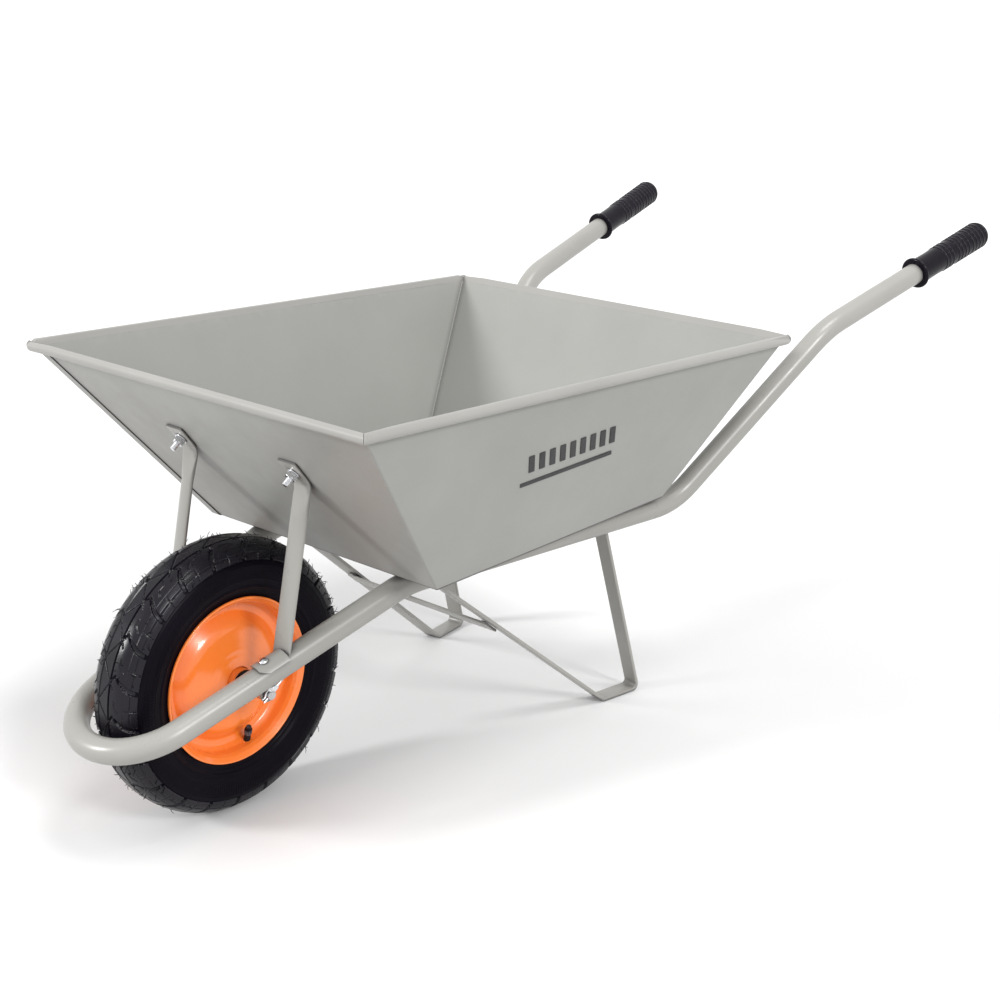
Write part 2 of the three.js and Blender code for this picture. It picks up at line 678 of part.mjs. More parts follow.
// Pressed rim half: rolled flange, bead seat, well, then a dished web out to the hub.
const rimHalfOutside = [
  v2(FLANGE_R, FLANGE_Y - 1.5),
  v2(FLANGE_R - 1.5, FLANGE_Y),
  v2(BEAD_SEAT_R - RIM_SHEET, 26),
  v2(BEAD_SEAT_R - RIM_SHEET - 1, 13),
  v2(92, 7.5),
  v2(84, 6.5),
  v2(79.5, 10.5),
  v2(72, 17),
  v2(52, 22),
  v2(26, 31),
  v2(HUB_R + GAP, 33),
];
const rimHalfInside = [
  v2(HUB_R + GAP, 31),
  v2(25, 29),
  v2(52, 19.8),
  v2(71, 15),
  v2(78.2, 8.9),
  v2(83, 4.2),
  v2(83, 0.2),
  v2(93, 0.2),
  v2(97, 6),
  v2(BEAD_SEAT_R, 12.5),
  v2(BEAD_SEAT_R, 28),
  v2(FLANGE_R - 3.5, FLANGE_Y - 4),
];

// The valve stem leaves the tube through the left rim half.
const valveOut = v3(Math.cos(VALVE_ANGLE), 0, Math.sin(VALVE_ANGLE));
const valveRoot = valveOut.clone().multiplyScalar(118).setY(5);
const valveTip = valveOut.clone().multiplyScalar(78).setY(24);
const valveLine = valveTip.clone().sub(valveRoot).normalize();
const valveLength = valveTip.distanceTo(valveRoot);

function rimHalf(sign) {
  const outline = [...rimHalfOutside, ...rimHalfInside].map((c) => v2(c.x, sign * c.y));
  const half = turned(outline, WHEEL_SIDES);
  return sign > 0 ? cut(half, rod(valveRoot, valveLine, valveLength, VALVE_R + 1, 14)) : half;
}

function innerTube() {
  const middle = 139;
  const ellipse = (ry, rz, sides) => Array.from({ length: sides }, (_, i) => {
    const turn = (2 * Math.PI * i) / sides;
    return v2(middle + rz * Math.cos(turn), ry * Math.sin(turn));
  });
  const skin = turned(ellipse(23, 25, 8), 24);
  const air = turned(ellipse(21, 23, 8), 24);
  const stem = rod(valveRoot, valveLine, valveLength - 4, VALVE_R, 12);
  const bore = rod(valveRoot.clone().addScaledVector(valveLine, -12), valveLine, valveLength + 20, 1.4, 8);
  const tube = toSolid(skin).add(toSolid(stem)).subtract(toSolid(air)).subtract(toSolid(bore));
  return fromSolid(tube);
}

function valveCap() {
  const geometry = turned([
    v2(0, 9), v2(VALVE_R - 1, 9), v2(VALVE_R + 0.8, 7), v2(VALVE_R + 0.8, -4),
    v2(VALVE_R + GAP, -4), v2(VALVE_R + GAP, 0.4), v2(0, 0.4),
  ], 14);
  geometry.applyQuaternion(new THREE.Quaternion().setFromUnitVectors(v3(0, 1, 0), valveLine));
  const seat = valveRoot.clone().addScaledVector(valveLine, valveLength - 4);
  geometry.translate(seat.x, seat.y, seat.z);
  return geometry;
}

// A bush: a flanged plastic sleeve pushed into each end of the hub.
function bush(sign) {
  const sleeve = [
    v2(AXLE_R + GAP, HUB_HALF - BUSH_DEPTH),
    v2(HUB_BORE_R - GAP, HUB_HALF - BUSH_DEPTH),
    v2(HUB_BORE_R - GAP, HUB_HALF + GAP),
    v2(BUSH_FLANGE_R, HUB_HALF + GAP),
    v2(BUSH_FLANGE_R, HUB_HALF + GAP + BUSH_FLANGE),
    v2(AXLE_R + GAP, HUB_HALF + GAP + BUSH_FLANGE),
  ];
  return turned(sleeve.map((c) => v2(c.x, sign * c.y)), 24);
}

addWheelPart('tyre', tyre(), rubber());
addWheelPart('inner_tube', innerTube(), rubber());
addWheelPart('valve_cap', valveCap(), plastic());
addWheelPart('hub_tube', turned(tubeOutline(HUB_R, HUB_BORE_R, HUB_HALF), 26), orange());
for (const [side, sign] of Object.entries(SIDES)) {
  addWheelPart(`rim_half_${side}`, rimHalf(sign), orange());
  addWheelPart(`hub_bush_${side}`, bush(sign), plastic());
}

// ---------------------------------------------------------------- axle, brackets and clips
const clipSlant = v3(-0.82, 0, 0.57).normalize();

function axle() {
  const shaft = turned([
    v2(0, -AXLE_HALF), v2(AXLE_R - 1, -AXLE_HALF), v2(AXLE_R, -AXLE_HALF + 1),
    v2(AXLE_R, AXLE_HALF - 1), v2(AXLE_R - 1, AXLE_HALF), v2(0, AXLE_HALF),
  ], 20);
  const holes = Object.values(SIDES).map((sign) => {
    const from = clipSlant.clone().multiplyScalar(-20).setY(sign * CLIP_Y);
    return rod(from, clipSlant, 40, CLIP_WIRE_R + GAP, 10);
  });
  return cut(shaft, ...holes);
}

// A spacer keeps the wheel in the middle between a bush and a bracket.
function spacer(sign) {
  const inner = HUB_HALF + 2 * GAP + BUSH_FLANGE;
  const outer = BRACKET_OUT_Y - BRACKET - GAP;
  const outline = [
    v2(AXLE_R + GAP, inner), v2(10, inner), v2(10, outer), v2(AXLE_R + GAP, outer),
  ];
  return turned(outline.map((c) => v2(c.x, sign * c.y)), 18);
}

// A plate welded to the inside of the tube, with the axle's hole near its rounded foot.
function bracket(sign) {
  const topZ = loopZ(0) - TYRE_R + 3;
  const shape = new THREE.Shape();
  shape.moveTo(BRACKET_HALF_WIDTH, topZ);
  shape.lineTo(-BRACKET_HALF_WIDTH, topZ);
  shape.lineTo(-BRACKET_HALF_WIDTH, 0);
  shape.absarc(0, 0, BRACKET_HALF_WIDTH, Math.PI, 2 * Math.PI);
  shape.lineTo(BRACKET_HALF_WIDTH, topZ);
  shape.holes.push(ringShape(AXLE_R + GAP, 16));
  const plate = new THREE.ExtrudeGeometry(shape, { depth: BRACKET, bevelEnabled: false, curveSegments: 8 });
  plate.rotateX(Math.PI / 2);
  plate.translate(0, sign > 0 ? BRACKET_OUT_Y : -BRACKET_OUT_Y + BRACKET, 0);
  const { along, atAxle } = frontRun(sign);
  const start = atAxle.clone().sub(wheelCentre).addScaledVector(along, -60);
  return cut(plate, rod(start, along, 120, TUBE_R + GAP, 20));
}

// A hairpin clip: one leg straight through the axle, the other bowed round it.
function hairpin(sign) {
  const across = v3(clipSlant.z, 0, -clipSlant.x);
  const at = (s, t) => clipSlant.clone().multiplyScalar(s).addScaledVector(across, t).setY(sign * CLIP_Y);
  const bow = AXLE_R + CLIP_WIRE_R + GAP;
  const straight = [at(-13, 0), at(27, 0)];
  const eye = Array.from({ length: 6 }, (_, i) => {
    const turn = -Math.PI / 2 + (Math.PI * (i + 1)) / 7;
    return at(27 + 3.6 * Math.cos(turn), 3.6 + 3.6 * Math.sin(turn));
  });
  const back = [at(25, 7), at(16, 4.6), at(9.4, 4.4)];
  const hug = Array.from({ length: 7 }, (_, i) => {
    const turn = THREE.MathUtils.degToRad(40 + 17 * i);
    return at(bow * Math.cos(turn), bow * Math.sin(turn));
  });
  return swept(ringShape(CLIP_WIRE_R, 8), [...straight, ...eye, ...back, ...hug, at(-9, 4.2), at(-13, 6.5)]);
}

addWheelPart('axle', axle(), steel());
for (const [side, sign] of Object.entries(SIDES)) {
  addWheelPart(`axle_spacer_${side}`, spacer(sign), steel());
  addWheelPart(`axle_bracket_${side}`, bracket(sign), paint());
  addWheelPart(`axle_clip_${side}`, hairpin(sign), zinc());
}

export default part;
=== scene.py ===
"""A builder's wheelbarrow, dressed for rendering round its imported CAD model."""

import json
from math import acos, atan, atan2, ceil, cos, pi, radians, sin, tan

import bpy
import numpy as np
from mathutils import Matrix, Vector


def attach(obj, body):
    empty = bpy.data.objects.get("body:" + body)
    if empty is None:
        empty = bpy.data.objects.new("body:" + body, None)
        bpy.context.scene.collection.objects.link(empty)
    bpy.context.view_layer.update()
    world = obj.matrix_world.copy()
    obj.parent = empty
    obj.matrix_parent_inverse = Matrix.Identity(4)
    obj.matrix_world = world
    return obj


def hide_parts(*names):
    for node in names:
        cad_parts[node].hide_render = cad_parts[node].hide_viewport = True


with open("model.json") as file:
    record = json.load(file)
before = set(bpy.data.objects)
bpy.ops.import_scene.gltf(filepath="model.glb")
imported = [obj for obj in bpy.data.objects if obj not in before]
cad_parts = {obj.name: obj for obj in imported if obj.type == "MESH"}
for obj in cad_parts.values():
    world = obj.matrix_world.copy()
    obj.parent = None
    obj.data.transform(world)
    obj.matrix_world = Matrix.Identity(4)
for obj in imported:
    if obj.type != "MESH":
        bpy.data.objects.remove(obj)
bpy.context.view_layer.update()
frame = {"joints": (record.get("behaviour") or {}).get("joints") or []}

# ---------------------------------------------------------------- driving dimensions
# Metres. Points are drawn with x measured from the wheel's axle, and the mesh maker shifts them to the frame.
MM = 0.001


def mm(*values):
    """Millimetres as metres: one point, or an array of points."""
    return np.array(values, float) * MM


GAP = 0.3 * MM
SIDES = {"left": 1, "right": -1}
AXLE = np.array(frame["joints"][0]["pos_m"])
SHIFT = np.array([AXLE[0], 0, 0])
UP = np.array([0.0, 0.0, 1.0])
ACROSS = np.array([0.0, 1.0, 0.0])

# Frame tube: the corners of its left half's centre line.
TUBE_R = 15.85 * MM
GRIP_START = mm(-1124, 307, 556)
HANDLE_BEND = mm(-914, 284, 503)
REAR_BEND = mm(-649, 212, 287.4)
FRONT_BEND = mm(-191, 137, 280.6)
LOOP_FRONT_X = 198 * MM
LOOP_SLOPE = -0.33
LOOP_HALF = 72.6 * MM
LOOP_Z = FRONT_BEND[2] + LOOP_SLOPE * (LOOP_FRONT_X - FRONT_BEND[0])
LOOP_CORNER = np.array([LOOP_FRONT_X, LOOP_HALF, LOOP_Z])
BEND_RADII = list(mm(150, 105, 170, 84))

# Grips. A set of raised rings is given by where it starts and how many rings it has.
GRIP_LENGTH = 172.4 * MM
GRIP_R = 19.7 * MM
GRIP_FLANGE_R = 24 * MM
GRIP_LIP_R = 3 * MM
GRIP_END_R = 7 * MM
RING_RISE = 1.0 * MM
RING_HALF = 0.8 * MM
RING_PITCH = 8.6 * MM
RING_SETS = [(60 * MM, 3), (92 * MM, 4), (129 * MM, 5)]

# Tray. Its sheets start a little below the rim plane, and the straight band under the bead is never dented.
SHEET = 1.2 * MM
RIM_FRONT = mm(37, 308, 555)
RIM_REAR = mm(-774, 310, 517)
FLOOR_FRONT = mm(-167, 214, 297)
FLOOR_REAR = mm(-603, 226, 307.4)
TRAY_MIDDLE = mm(-360, 0, 420)
BEAD_R = 6.75 * MM
BEAD_CORNER_R = 9 * MM
BEAD_SPLIT = 0.25 * MM
RIM_INSET = 3.5 * MM
SHEET_TOP = 1.92 * MM
SHEET_BAND = 16 * MM
FOLD_R = 3.2 * MM
CURL_R = 1.9 * MM
LAP = 17 * MM
DENT = 0.45 * MM
DENT_SPAN = 160 * MM
FLOOR_SWELL = 0.5 * MM
MARK_CENTRE = mm(-352, 0, 434)
MARK_SLANT = 0.32
MARK_BARS = [((k - 4) * 19, 14, 10, 26) for k in range(9)] + [(0, -16, 172, 6)]

# Straps.
LEG_WIDTH = 25.4 * MM
LEG_THICK = 4.8 * MM
LEG_BEND_R = 8 * MM
LEG_WELD_R = 2.1 * MM
LEG_WELD_LENGTH = 17 * MM
FOOT_FRONT_X = -549 * MM
FOOT_REAR_X = -618 * MM
LEG_TOP_Z = 288 * MM
DIAGONAL_SLOPE = 0.868
UPRIGHT_LEAN = 0.266
BRACE_WIDTH = 25.4 * MM
BRACE_THICK = 3.2 * MM
BRACE_ALONG = 258 * MM
BRACE_INSET = 12 * MM
BRACE_WELD_R = 1.3 * MM
BRACE_WELD_LENGTH = 10 * MM

# Struts: flattened tube, with a paddle on the tray and a saddle on the frame tube.
STRUT_THICK = 3.2 * MM
STRUT_Y = 105.5 * MM
STRUT_FOOT = mm(-9, 0, 233)
STRUT_KNEE_Z = 440 * MM
STRUT_KNEE_R = 20 * MM
STRUT_TONGUE = 41 * MM
STRUT_BOLT_UP = 21 * MM
STRUT_TURN = radians(9.4)
SADDLE_LENGTH = 40 * MM
SADDLE_BOLT_FORWARD = 21 * MM
SADDLE_ARC = radians(56)

# Fasteners, M8.
BOLT_R = 4 * MM
THREAD_PITCH = 1.25 * MM
NUT_R = 7.5 * MM
NUT_H = 6.5 * MM
WASHER_R = 8.5 * MM
WASHER_H = 1.6 * MM

# Wheel.
TYRE_R = 178 * MM
TREAD_PITCHES = 22
TREAD_COLUMNS = 56
TREAD_ROWS = 64
TREAD_PITCH = 2 * pi * TYRE_R / TREAD_PITCHES
TREAD_EDGE = 48 * MM
WALL_COLUMNS = 42
WALL_RINGS = [(54, 1.3, 0.5), (62, 1.1, 0.45), (72, 1.2, 0.5), (83, 5.0, 1.1), (90, 1.4, 0.7)]
HAIRS = 190
HAIR_R = 0.42 * MM
HAIR_PLACES = [13, 21, 30, 40, 46]
HAIRLESS = radians(30)
HUB_R = 17.5 * MM
HUB_BORE_R = 13.5 * MM
HUB_HALF = 42 * MM
BUSH_R = 17.3 * MM
BUSH_STEM_R = 13.2 * MM
BUSH_START = 18 * MM
BUSH_HEAD = 3.3 * MM
AXLE_R = 6 * MM
AXLE_HALF = 96 * MM
BRACKET_OUT_Y = 88 * MM
BRACKET_THICK = 4 * MM
BRACKET_HALF_WIDTH = 11 * MM
CLIP_WIRE_R = 1.4 * MM
CLIP_Y = 91.6 * MM
CLIP_SLANT = (-0.82, 0, 0.57)
VALVE_ANGLE = radians(257)
SPACER_R = 10 * MM
SPACER_START = 45.6 * MM


# ---------------------------------------------------------------- mesh helpers
def unit(v):
    v = np.asarray(v, float)
    return v / np.linalg.norm(v, axis=-1, keepdims=True)


def mirrored(v, sign):
    return np.asarray(v) * [1, sign, 1]


def grid_faces(rows, columns, wrap_rows, wrap_columns):
    below, beside = np.arange(rows - (not wrap_rows)), np.arange(columns - (not wrap_columns))
    i, j = np.meshgrid(below, beside, indexing="ij")
    down, right = (i + 1) % rows, (j + 1) % columns
    corners = [i * columns + j, i * columns + right, down * columns + right, down * columns + j]
    return np.stack(corners, -1).reshape(-1, 4)


def signed_volume(points, faces):
    total = 0.0
    for size in {len(f) for f in faces}:
        group = points[np.array([f for f in faces if len(f) == size])]
        for k in range(1, size - 1):
            total += np.einsum("ij,ij->", group[:, 0], np.cross(group[:, k], group[:, k + 1]))
    return total


def loft(rings, closed=False):
    """A closed shape through rings of points; an open chain of rings gets a flat end at each side."""
    rings = np.asarray(rings)
    rows, columns = rings.shape[:2]
    faces = grid_faces(rows, columns, closed, True).tolist()
    if not closed:
        faces.append(list(range(columns))[::-1])
        faces.append(list(range((rows - 1) * columns, rows * columns)))
    points = rings.reshape(-1, 3)
    if signed_volume(points - points.mean(0), faces) < 0:
        faces = [f[::-1] for f in faces]
    return points, faces


def rounded(corners, radii, step=radians(5)):
    """Stations along a chain of corners, each inner corner rounded to its own radius."""
    stations = [corners[0]]
    for before, here, after, radius in zip(corners, corners[1:], corners[2:], radii):
        inward, onward = unit(before - here), unit(after - here)
        half = acos(np.clip(inward @ onward, -1, 1)) / 2
        centre = here + unit(inward + onward) * radius / sin(half)
        start = here + inward * radius / tan(half) - centre
        end = here + onward * radius / tan(half) - centre
        sweep = pi - 2 * half
        steps = max(2, ceil(sweep / step))
        for t in np.linspace(0, 1, steps + 1):
            turned = start * sin((1 - t) * sweep) + end * sin(t * sweep)
            stations.append(centre + turned / sin(sweep))
    stations.append(corners[-1])
    return np.array(stations)


def filled(stations, spacing):
    """The same chain with extra stations, so that none are further apart than the spacing."""
    out = [stations[0]]
    for a, b in zip(stations, stations[1:]):
        count = max(1, ceil(np.linalg.norm(b - a) / spacing))
        out.extend(a + (b - a) * k / count for k in range(1, count + 1))
    return np.array(out)


def side_and_up(stations, side, closed=False):
    """Two directions square to the chain at each station, carried along it without twisting."""
    ahead = unit(np.roll(stations, -1, 0) - stations)
    behind = np.roll(ahead, 1, 0)
    if not closed:
        ahead[-1] = behind[-1]
        behind[0] = ahead[0]
    tangents = unit(ahead + behind)
    sides = []
    current = np.asarray(side, float)
    for tangent in tangents:
        current = unit(current - tangent * (current @ tangent))
        sides.append(current)
    return np.array(sides), np.cross(tangents, sides)


def swept(stations, section, side, closed=False):
    """A section, or one section for each station, carried along a chain of stations."""
    sides, ups = side_and_up(stations, side, closed)
    section = np.broadcast_to(section, (len(stations),) + np.shape(section)[-2:])
    rings = stations[:, None] + section[..., :1] * sides[:, None] + section[..., 1:] * ups[:, None]
    return loft(rings, closed)


def circle(radius, sides):
    turn = np.arange(sides) * 2 * pi / sides
    return radius * np.stack([np.cos(turn), np.sin(turn)], -1)


def squashed(width, thick, power=2.0, sides=48):
    """An oval that nears a rectangle as the power grows."""
    turn = (np.arange(sides) + 0.5) * 2 * pi / sides
    c, s = np.cos(turn), np.sin(turn)
    x = np.sign(c) * np.abs(c) ** (2 / power) * width / 2
    return np.stack([x, np.sign(s) * np.abs(s) ** (2 / power) * thick / 2], -1)


def bar_section(width, thick, radius=1.0 * MM, steps=4):
    """A rectangle with rounded corners."""
    points = []
    for k, (sx, sy) in enumerate([(1, 1), (-1, 1), (-1, -1), (1, -1)]):
        for t in np.linspace(0, pi / 2, steps + 1) + k * pi / 2:
            centre = np.array([sx * (width / 2 - radius), sy * (thick / 2 - radius)])
            points.append(centre + radius * np.array([cos(t), sin(t)]))
    return np.array(points)


def lathe(profile, sides=64, ring=False):
    """Turned about Z from (radius, height) points; a ring's outline closes on itself."""
    profile = np.asarray(profile, float)
    turn = circle(1, sides)
    rings = np.empty((len(profile), sides, 3))
    rings[..., :2] = profile[:, :1, None] * turn
    rings[..., 2] = profile[:, 1:]
    return loft(rings, ring)


def softened(profile, radius, ring=False, step=radians(15)):
    """An outline of (radius, height) points with its corners rounded."""
    points = np.asarray(profile, float)
    if ring:
        middle = (points[0] + points[-1]) / 2
        points = np.vstack([middle, points, middle])
        return rounded(points, [radius] * (len(points) - 2), step)[:-1]
    return rounded(points, [radius] * (len(points) - 2), step)


def placed(part, origin, axis, hint=(0.0, 0.0, 1.0)):
    """A part drawn about Z, moved to the origin with its Z along the axis."""
    points, faces = part
    z = unit(axis)
    if abs(z @ np.asarray(hint)) > 0.99:
        hint = (1.0, 0.0, 0.0)
    x = unit(np.cross(hint, z))
    basis = np.stack([x, np.cross(z, x), z])
    return points @ basis + origin, faces


def on_axle(part, sign=1):
    """A part drawn about Z from the wheel's middle, turned to lie along the axle, out to one side."""
    points, faces = part
    moved = np.stack([points[:, 0], sign * points[:, 2], points[:, 1] + AXLE[2]], -1)
    return moved, faces


def linked(name, data):
    made = bpy.data.objects.new(name, data)
    bpy.context.scene.collection.objects.link(made)
    return made


def piece(name, parts, material, body="frame", stands_for=(), sharp=40):
    """One visible piece made of closed parts, in the frame, riding on its body."""
    points, faces, start = [], [], 0
    for part_points, part_faces in parts:
        turn = signed_volume(part_points - part_points.mean(0), part_faces) < 0
        for face in part_faces:
            face = [int(k) + start for k in face]
            faces.append(face[::-1] if turn else face)
        points.append(part_points + SHIFT)
        start += len(part_points)
    mesh = bpy.data.meshes.new(name)
    mesh.from_pydata(np.vstack(points).tolist(), [], faces)
    mesh.shade_smooth()
    mesh.set_sharp_from_angle(angle=radians(sharp))
    mesh.materials.append(material)
    made = linked(name, mesh)
    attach(made, body)
    if stands_for:
        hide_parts(*stands_for)


def fine(node, parts, material, body="frame", sharp=40):
    """The piece that takes the place of one CAD node, named after it."""
    piece(f"{node}_fine", parts, material, body, [node], sharp)


# ---------------------------------------------------------------- materials
# Where a colour Mix node keeps its two colours and its result.
MIX_A, MIX_B, MIX_RESULT = 6, 7, 2


class Graph:
    """One material's node graph. An input is given a plain value or another node's output."""

    def __init__(self, name):
        self.material = bpy.data.materials.new(name)
        self.material.use_nodes = True
        self.tree = self.material.node_tree
        self.shader = self.tree.nodes["Principled BSDF"]
        self.place = self.add("TexCoord").outputs["Object"]

    def add(self, kind, inputs=(), **settings):
        node = self.tree.nodes.new("ShaderNode" + kind)
        for key, value in settings.items():
            setattr(node, key, value)
        for key, value in dict(inputs).items():
            self.put(value, node.inputs[key])
        return node

    def put(self, value, socket):
        if isinstance(value, bpy.types.NodeSocket):
            self.tree.links.new(value, socket)
        else:
            socket.default_value = value

    def set(self, **inputs):
        for key, value in inputs.items():
            self.put(value, self.shader.inputs[key.replace("_", " ")])

    def noise(self, scale, detail=3.0, roughness=0.55):
        inputs = {"Vector": self.place, "Scale": scale, "Detail": detail, "Roughness": roughness}
        return self.add("TexNoise", inputs).outputs["Fac"]

    def span(self, value, low, high, to_low=0.0, to_high=1.0):
        inputs = {"Value": value, "From Min": low, "From Max": high, "To Min": to_low, "To Max": to_high}
        return self.add("MapRange", inputs).outputs["Result"]

    def mix(self, factor, a, b):
        node = self.add("Mix", data_type="RGBA")
        self.put(factor, node.inputs["Factor"])
        self.put(a, node.inputs[MIX_A])
        self.put(b, node.inputs[MIX_B])
        return node.outputs[MIX_RESULT]

    def times(self, a, b):
        node = self.add("Math", operation="MULTIPLY")
        self.put(a, node.inputs[0])
        self.put(b, node.inputs[1])
        return node.outputs[0]

    def bump(self, height, strength, distance, after=None):
        inputs = {"Height": height, "Strength": strength, "Distance": distance}
        if after is not None:
            inputs["Normal"] = after
        return self.add("Bump", inputs).outputs["Normal"]


def shade(colour, factor):
    return tuple(c * factor for c in colour[:3]) + (1.0,)


# Painted shade: creases within reach of another surface are darkened, and a hem along the tray's lower edges
# carries a painted shadow.
PAINTED_SHADE = (0.03, 0.026, 0.03, 1.0)
CREASE_REACH = 12 * MM
HEM_HEIGHT = 2.2 * MM
HEM_FADE = 1.4 * MM


def painted(name, colour, roughness, clouding=0.05, peel=0.12, coat=0.0, crease_shade=0.0, hem=None):
    """Sprayed enamel: cloudy, with an orange-peel skin, pin-head dust, worn edges, painted shade in its
    creases and a painted shadow along its hem.
    """
    g = Graph(name)
    cloud = g.noise(5.0, 4.0)
    tone = g.mix(g.span(cloud, 0.3, 0.7), shade(colour, 1 - clouding), shade(colour, 1 + clouding))
    dust = g.span(g.noise(420.0, 2.0), 0.68, 0.76)
    tone = g.mix(g.times(dust, 0.35), tone, shade(colour, 0.72))
    edge = g.span(g.add("NewGeometry").outputs["Pointiness"], 0.53, 0.62)
    worn = g.times(edge, g.span(g.noise(60.0, 4.0), 0.45, 0.7))
    tone = g.mix(g.times(worn, 0.4), tone, shade(colour, 1.35))
    if crease_shade:
        # Painted shade: the colour darkens where ambient occlusion finds another surface within reach, as in
        # shaded creases and seams.
        openness = g.add("AmbientOcclusion", {"Distance": CREASE_REACH}, samples=6).outputs["AO"]
        tone = g.mix(g.span(openness, 0.4, 0.93, crease_shade, 0.0), tone, PAINTED_SHADE)
    if hem:
        # Painted shadow: a dark band over the lowest few millimetres of the sheets, where the gap over the
        # frame tube lies in shade.
        up, level = hem
        height = g.add("VectorMath", {0: g.place, 1: tuple(up)}, operation="DOT_PRODUCT").outputs["Value"]
        shaded_to = level + HEM_HEIGHT
        tone = g.mix(g.span(height, shaded_to, shaded_to + HEM_FADE, 0.9, 0.0), tone, PAINTED_SHADE)
    matt = g.span(g.noise(22.0, 5.0), 0.3, 0.7, roughness - 0.05, roughness + 0.06)
    skin = g.bump(g.noise(310.0, 2.0), peel, 0.25 * MM)
    fine = g.bump(g.noise(1400.0, 2.0), peel * 0.8, 0.08 * MM, skin)
    g.set(Base_Color=tone, Roughness=matt, Normal=fine)
    if coat:
        g.shader.inputs["Coat Weight"].default_value = coat
        g.shader.inputs["Coat Roughness"].default_value = 0.08
    return g.material


def moulded(name, colour, roughness, grain, sheen, rub_and_highlight_tone=0.0):
    """Black rubber or plastic: a fine moulded grain, a duller bloom in patches, lint, and lighter crests:
    worn by rubbing, and a painted highlight.
    """
    g = Graph(name)
    bloom = g.span(g.noise(14.0, 5.0, 0.62), 0.35, 0.75)
    tone = g.mix(bloom, shade(colour, 0.75), shade(colour, 1.25))
    lint = g.span(g.noise(600.0, 2.0), 0.7, 0.8)
    tone = g.mix(g.times(lint, 0.3), tone, shade(colour, 3.0))
    if rub_and_highlight_tone:
        # Lighter crests: partly wear from rubbing, and partly a painted highlight where raised rings catch
        # the light.
        crest = g.span(g.add("NewGeometry").outputs["Pointiness"], 0.53, 0.6)
        worn = g.times(crest, g.span(g.noise(70.0, 3.0), 0.25, 0.6, 0.35, 1.0))
        tone = g.mix(worn, tone, (rub_and_highlight_tone, rub_and_highlight_tone * 0.95, rub_and_highlight_tone * 1.05, 1.0))
    matt = g.span(g.noise(45.0, 4.0), 0.3, 0.7, roughness - 0.06, roughness + 0.08)
    skin = g.bump(g.noise(900.0, 3.0), grain, 0.15 * MM)
    g.set(Base_Color=tone, Roughness=matt, Normal=skin)
    g.shader.inputs["Specular IOR Level"].default_value = sheen
    return g.material


def plated(name, colour, roughness):
    """Plated or drawn steel: bright, with fine crystals, drawing marks and a little dulling."""
    g = Graph(name)
    crystals = g.add("TexVoronoi", {"Vector": g.place, "Scale": 700.0}).outputs["Color"]
    grey = g.add("RGBToBW", {"Color": crystals}).outputs["Val"]
    tone = g.mix(g.span(grey, 0.2, 0.8), shade(colour, 0.86), shade(colour, 1.05))
    dull = g.span(g.noise(90.0, 4.0), 0.35, 0.75)
    tone = g.mix(g.times(dull, 0.3), tone, shade(colour, 0.62))
    matt = g.span(g.noise(160.0, 3.0), 0.3, 0.7, roughness - 0.07, roughness + 0.12)
    g.set(Base_Color=tone, Roughness=matt, Metallic=1.0, Normal=g.bump(g.noise(1100.0, 2.0), 0.1, 0.1 * MM))
    return g.material


# These enamels are darkened in their creases: painted shade.
FRAME_PAINT = painted("frame_enamel", (0.255, 0.25, 0.232), 0.31, crease_shade=0.85)
TRAY_GREY = (0.242, 0.242, 0.228)
TRAY_PAINT = painted("tray_enamel", TRAY_GREY, 0.42, crease_shade=0.85)
# The bead has the tray's paint, painted a little lighter: a painted highlight for the light along the top of
# the rolled edge.
HIGHLIT_BEAD_PAINT = painted("bead_enamel", (0.262, 0.258, 0.243), 0.34, crease_shade=0.85)
ORANGE_PAINT = painted("rim_enamel", (0.8, 0.185, 0.026), 0.24, clouding=0.03, peel=0.05, coat=0.5)
# The tread and the wall are one rubber. The tread's colour is painted lighter than the wall's: a painted
# sheen for the gloss its blocks catch.
SHEENED_TREAD_RUBBER = moulded("tread_rubber", (0.0065, 0.0054, 0.0088), 0.25, 0.2, sheen=0.24)
WALL_RUBBER = moulded("wall_rubber", (0.0030, 0.0021, 0.0044), 0.34, 0.25, sheen=0.05)
TUBE_RUBBER = moulded("tube_rubber", (0.010, 0.009, 0.010), 0.6, 0.2, sheen=0.2)
BLACK_PLASTIC = moulded("black_plastic", (0.0045, 0.0032, 0.0066), 0.24, 0.1, sheen=0.13, rub_and_highlight_tone=0.2)
ZINC = plated("zinc_plate", (0.74, 0.75, 0.77), 0.26)
STEEL = plated("drawn_steel", (0.55, 0.55, 0.56), 0.34)
MARK_INK = moulded("decal_ink", (0.022, 0.022, 0.024), 0.5, 0.08, sheen=0.4)


# ---------------------------------------------------------------- frame tube and grips
HANDLE = unit(GRIP_START - HANDLE_BEND)


def front_run(sign):
    """The tube's front part on one side: directions along, across and up, and where it passes the axle."""
    start, end = mirrored(FRONT_BEND, sign), mirrored(LOOP_CORNER, sign)
    along = unit(end - start)
    across = unit(sign * ACROSS - along * sign * along[1])
    up = sign * np.cross(along, across)
    return along, across, up, start - along * FRONT_BEND[0] / along[0]


def saddle_bolt(sign):
    along, _, up, at_axle = front_run(sign)
    return at_axle + along * (STRUT_FOOT[0] + SADDLE_BOLT_FORWARD) / along[0], up


def weld(points, radius, seed, pitch=2.6 * MM, step=0.55 * MM):
    """A hand-laid weld bead: overlapping ripples, a little uneven."""
    rng = np.random.default_rng(seed)
    stations = filled(np.asarray(points), step)
    length = np.arange(len(stations)) * step
    ripple = 1 + 0.16 * np.abs(np.sin(pi * length / pitch))
    drift = np.interp(length, np.linspace(0, length[-1], 7), rng.uniform(-0.12, 0.12, 7))
    taper = np.minimum(1, 0.35 + np.minimum(length, length[::-1]) / (2.2 * radius))
    size = (ripple + drift) * taper
    return swept(stations, circle(radius, 12) * size[:, None, None], UP + 0.3 * ACROSS)


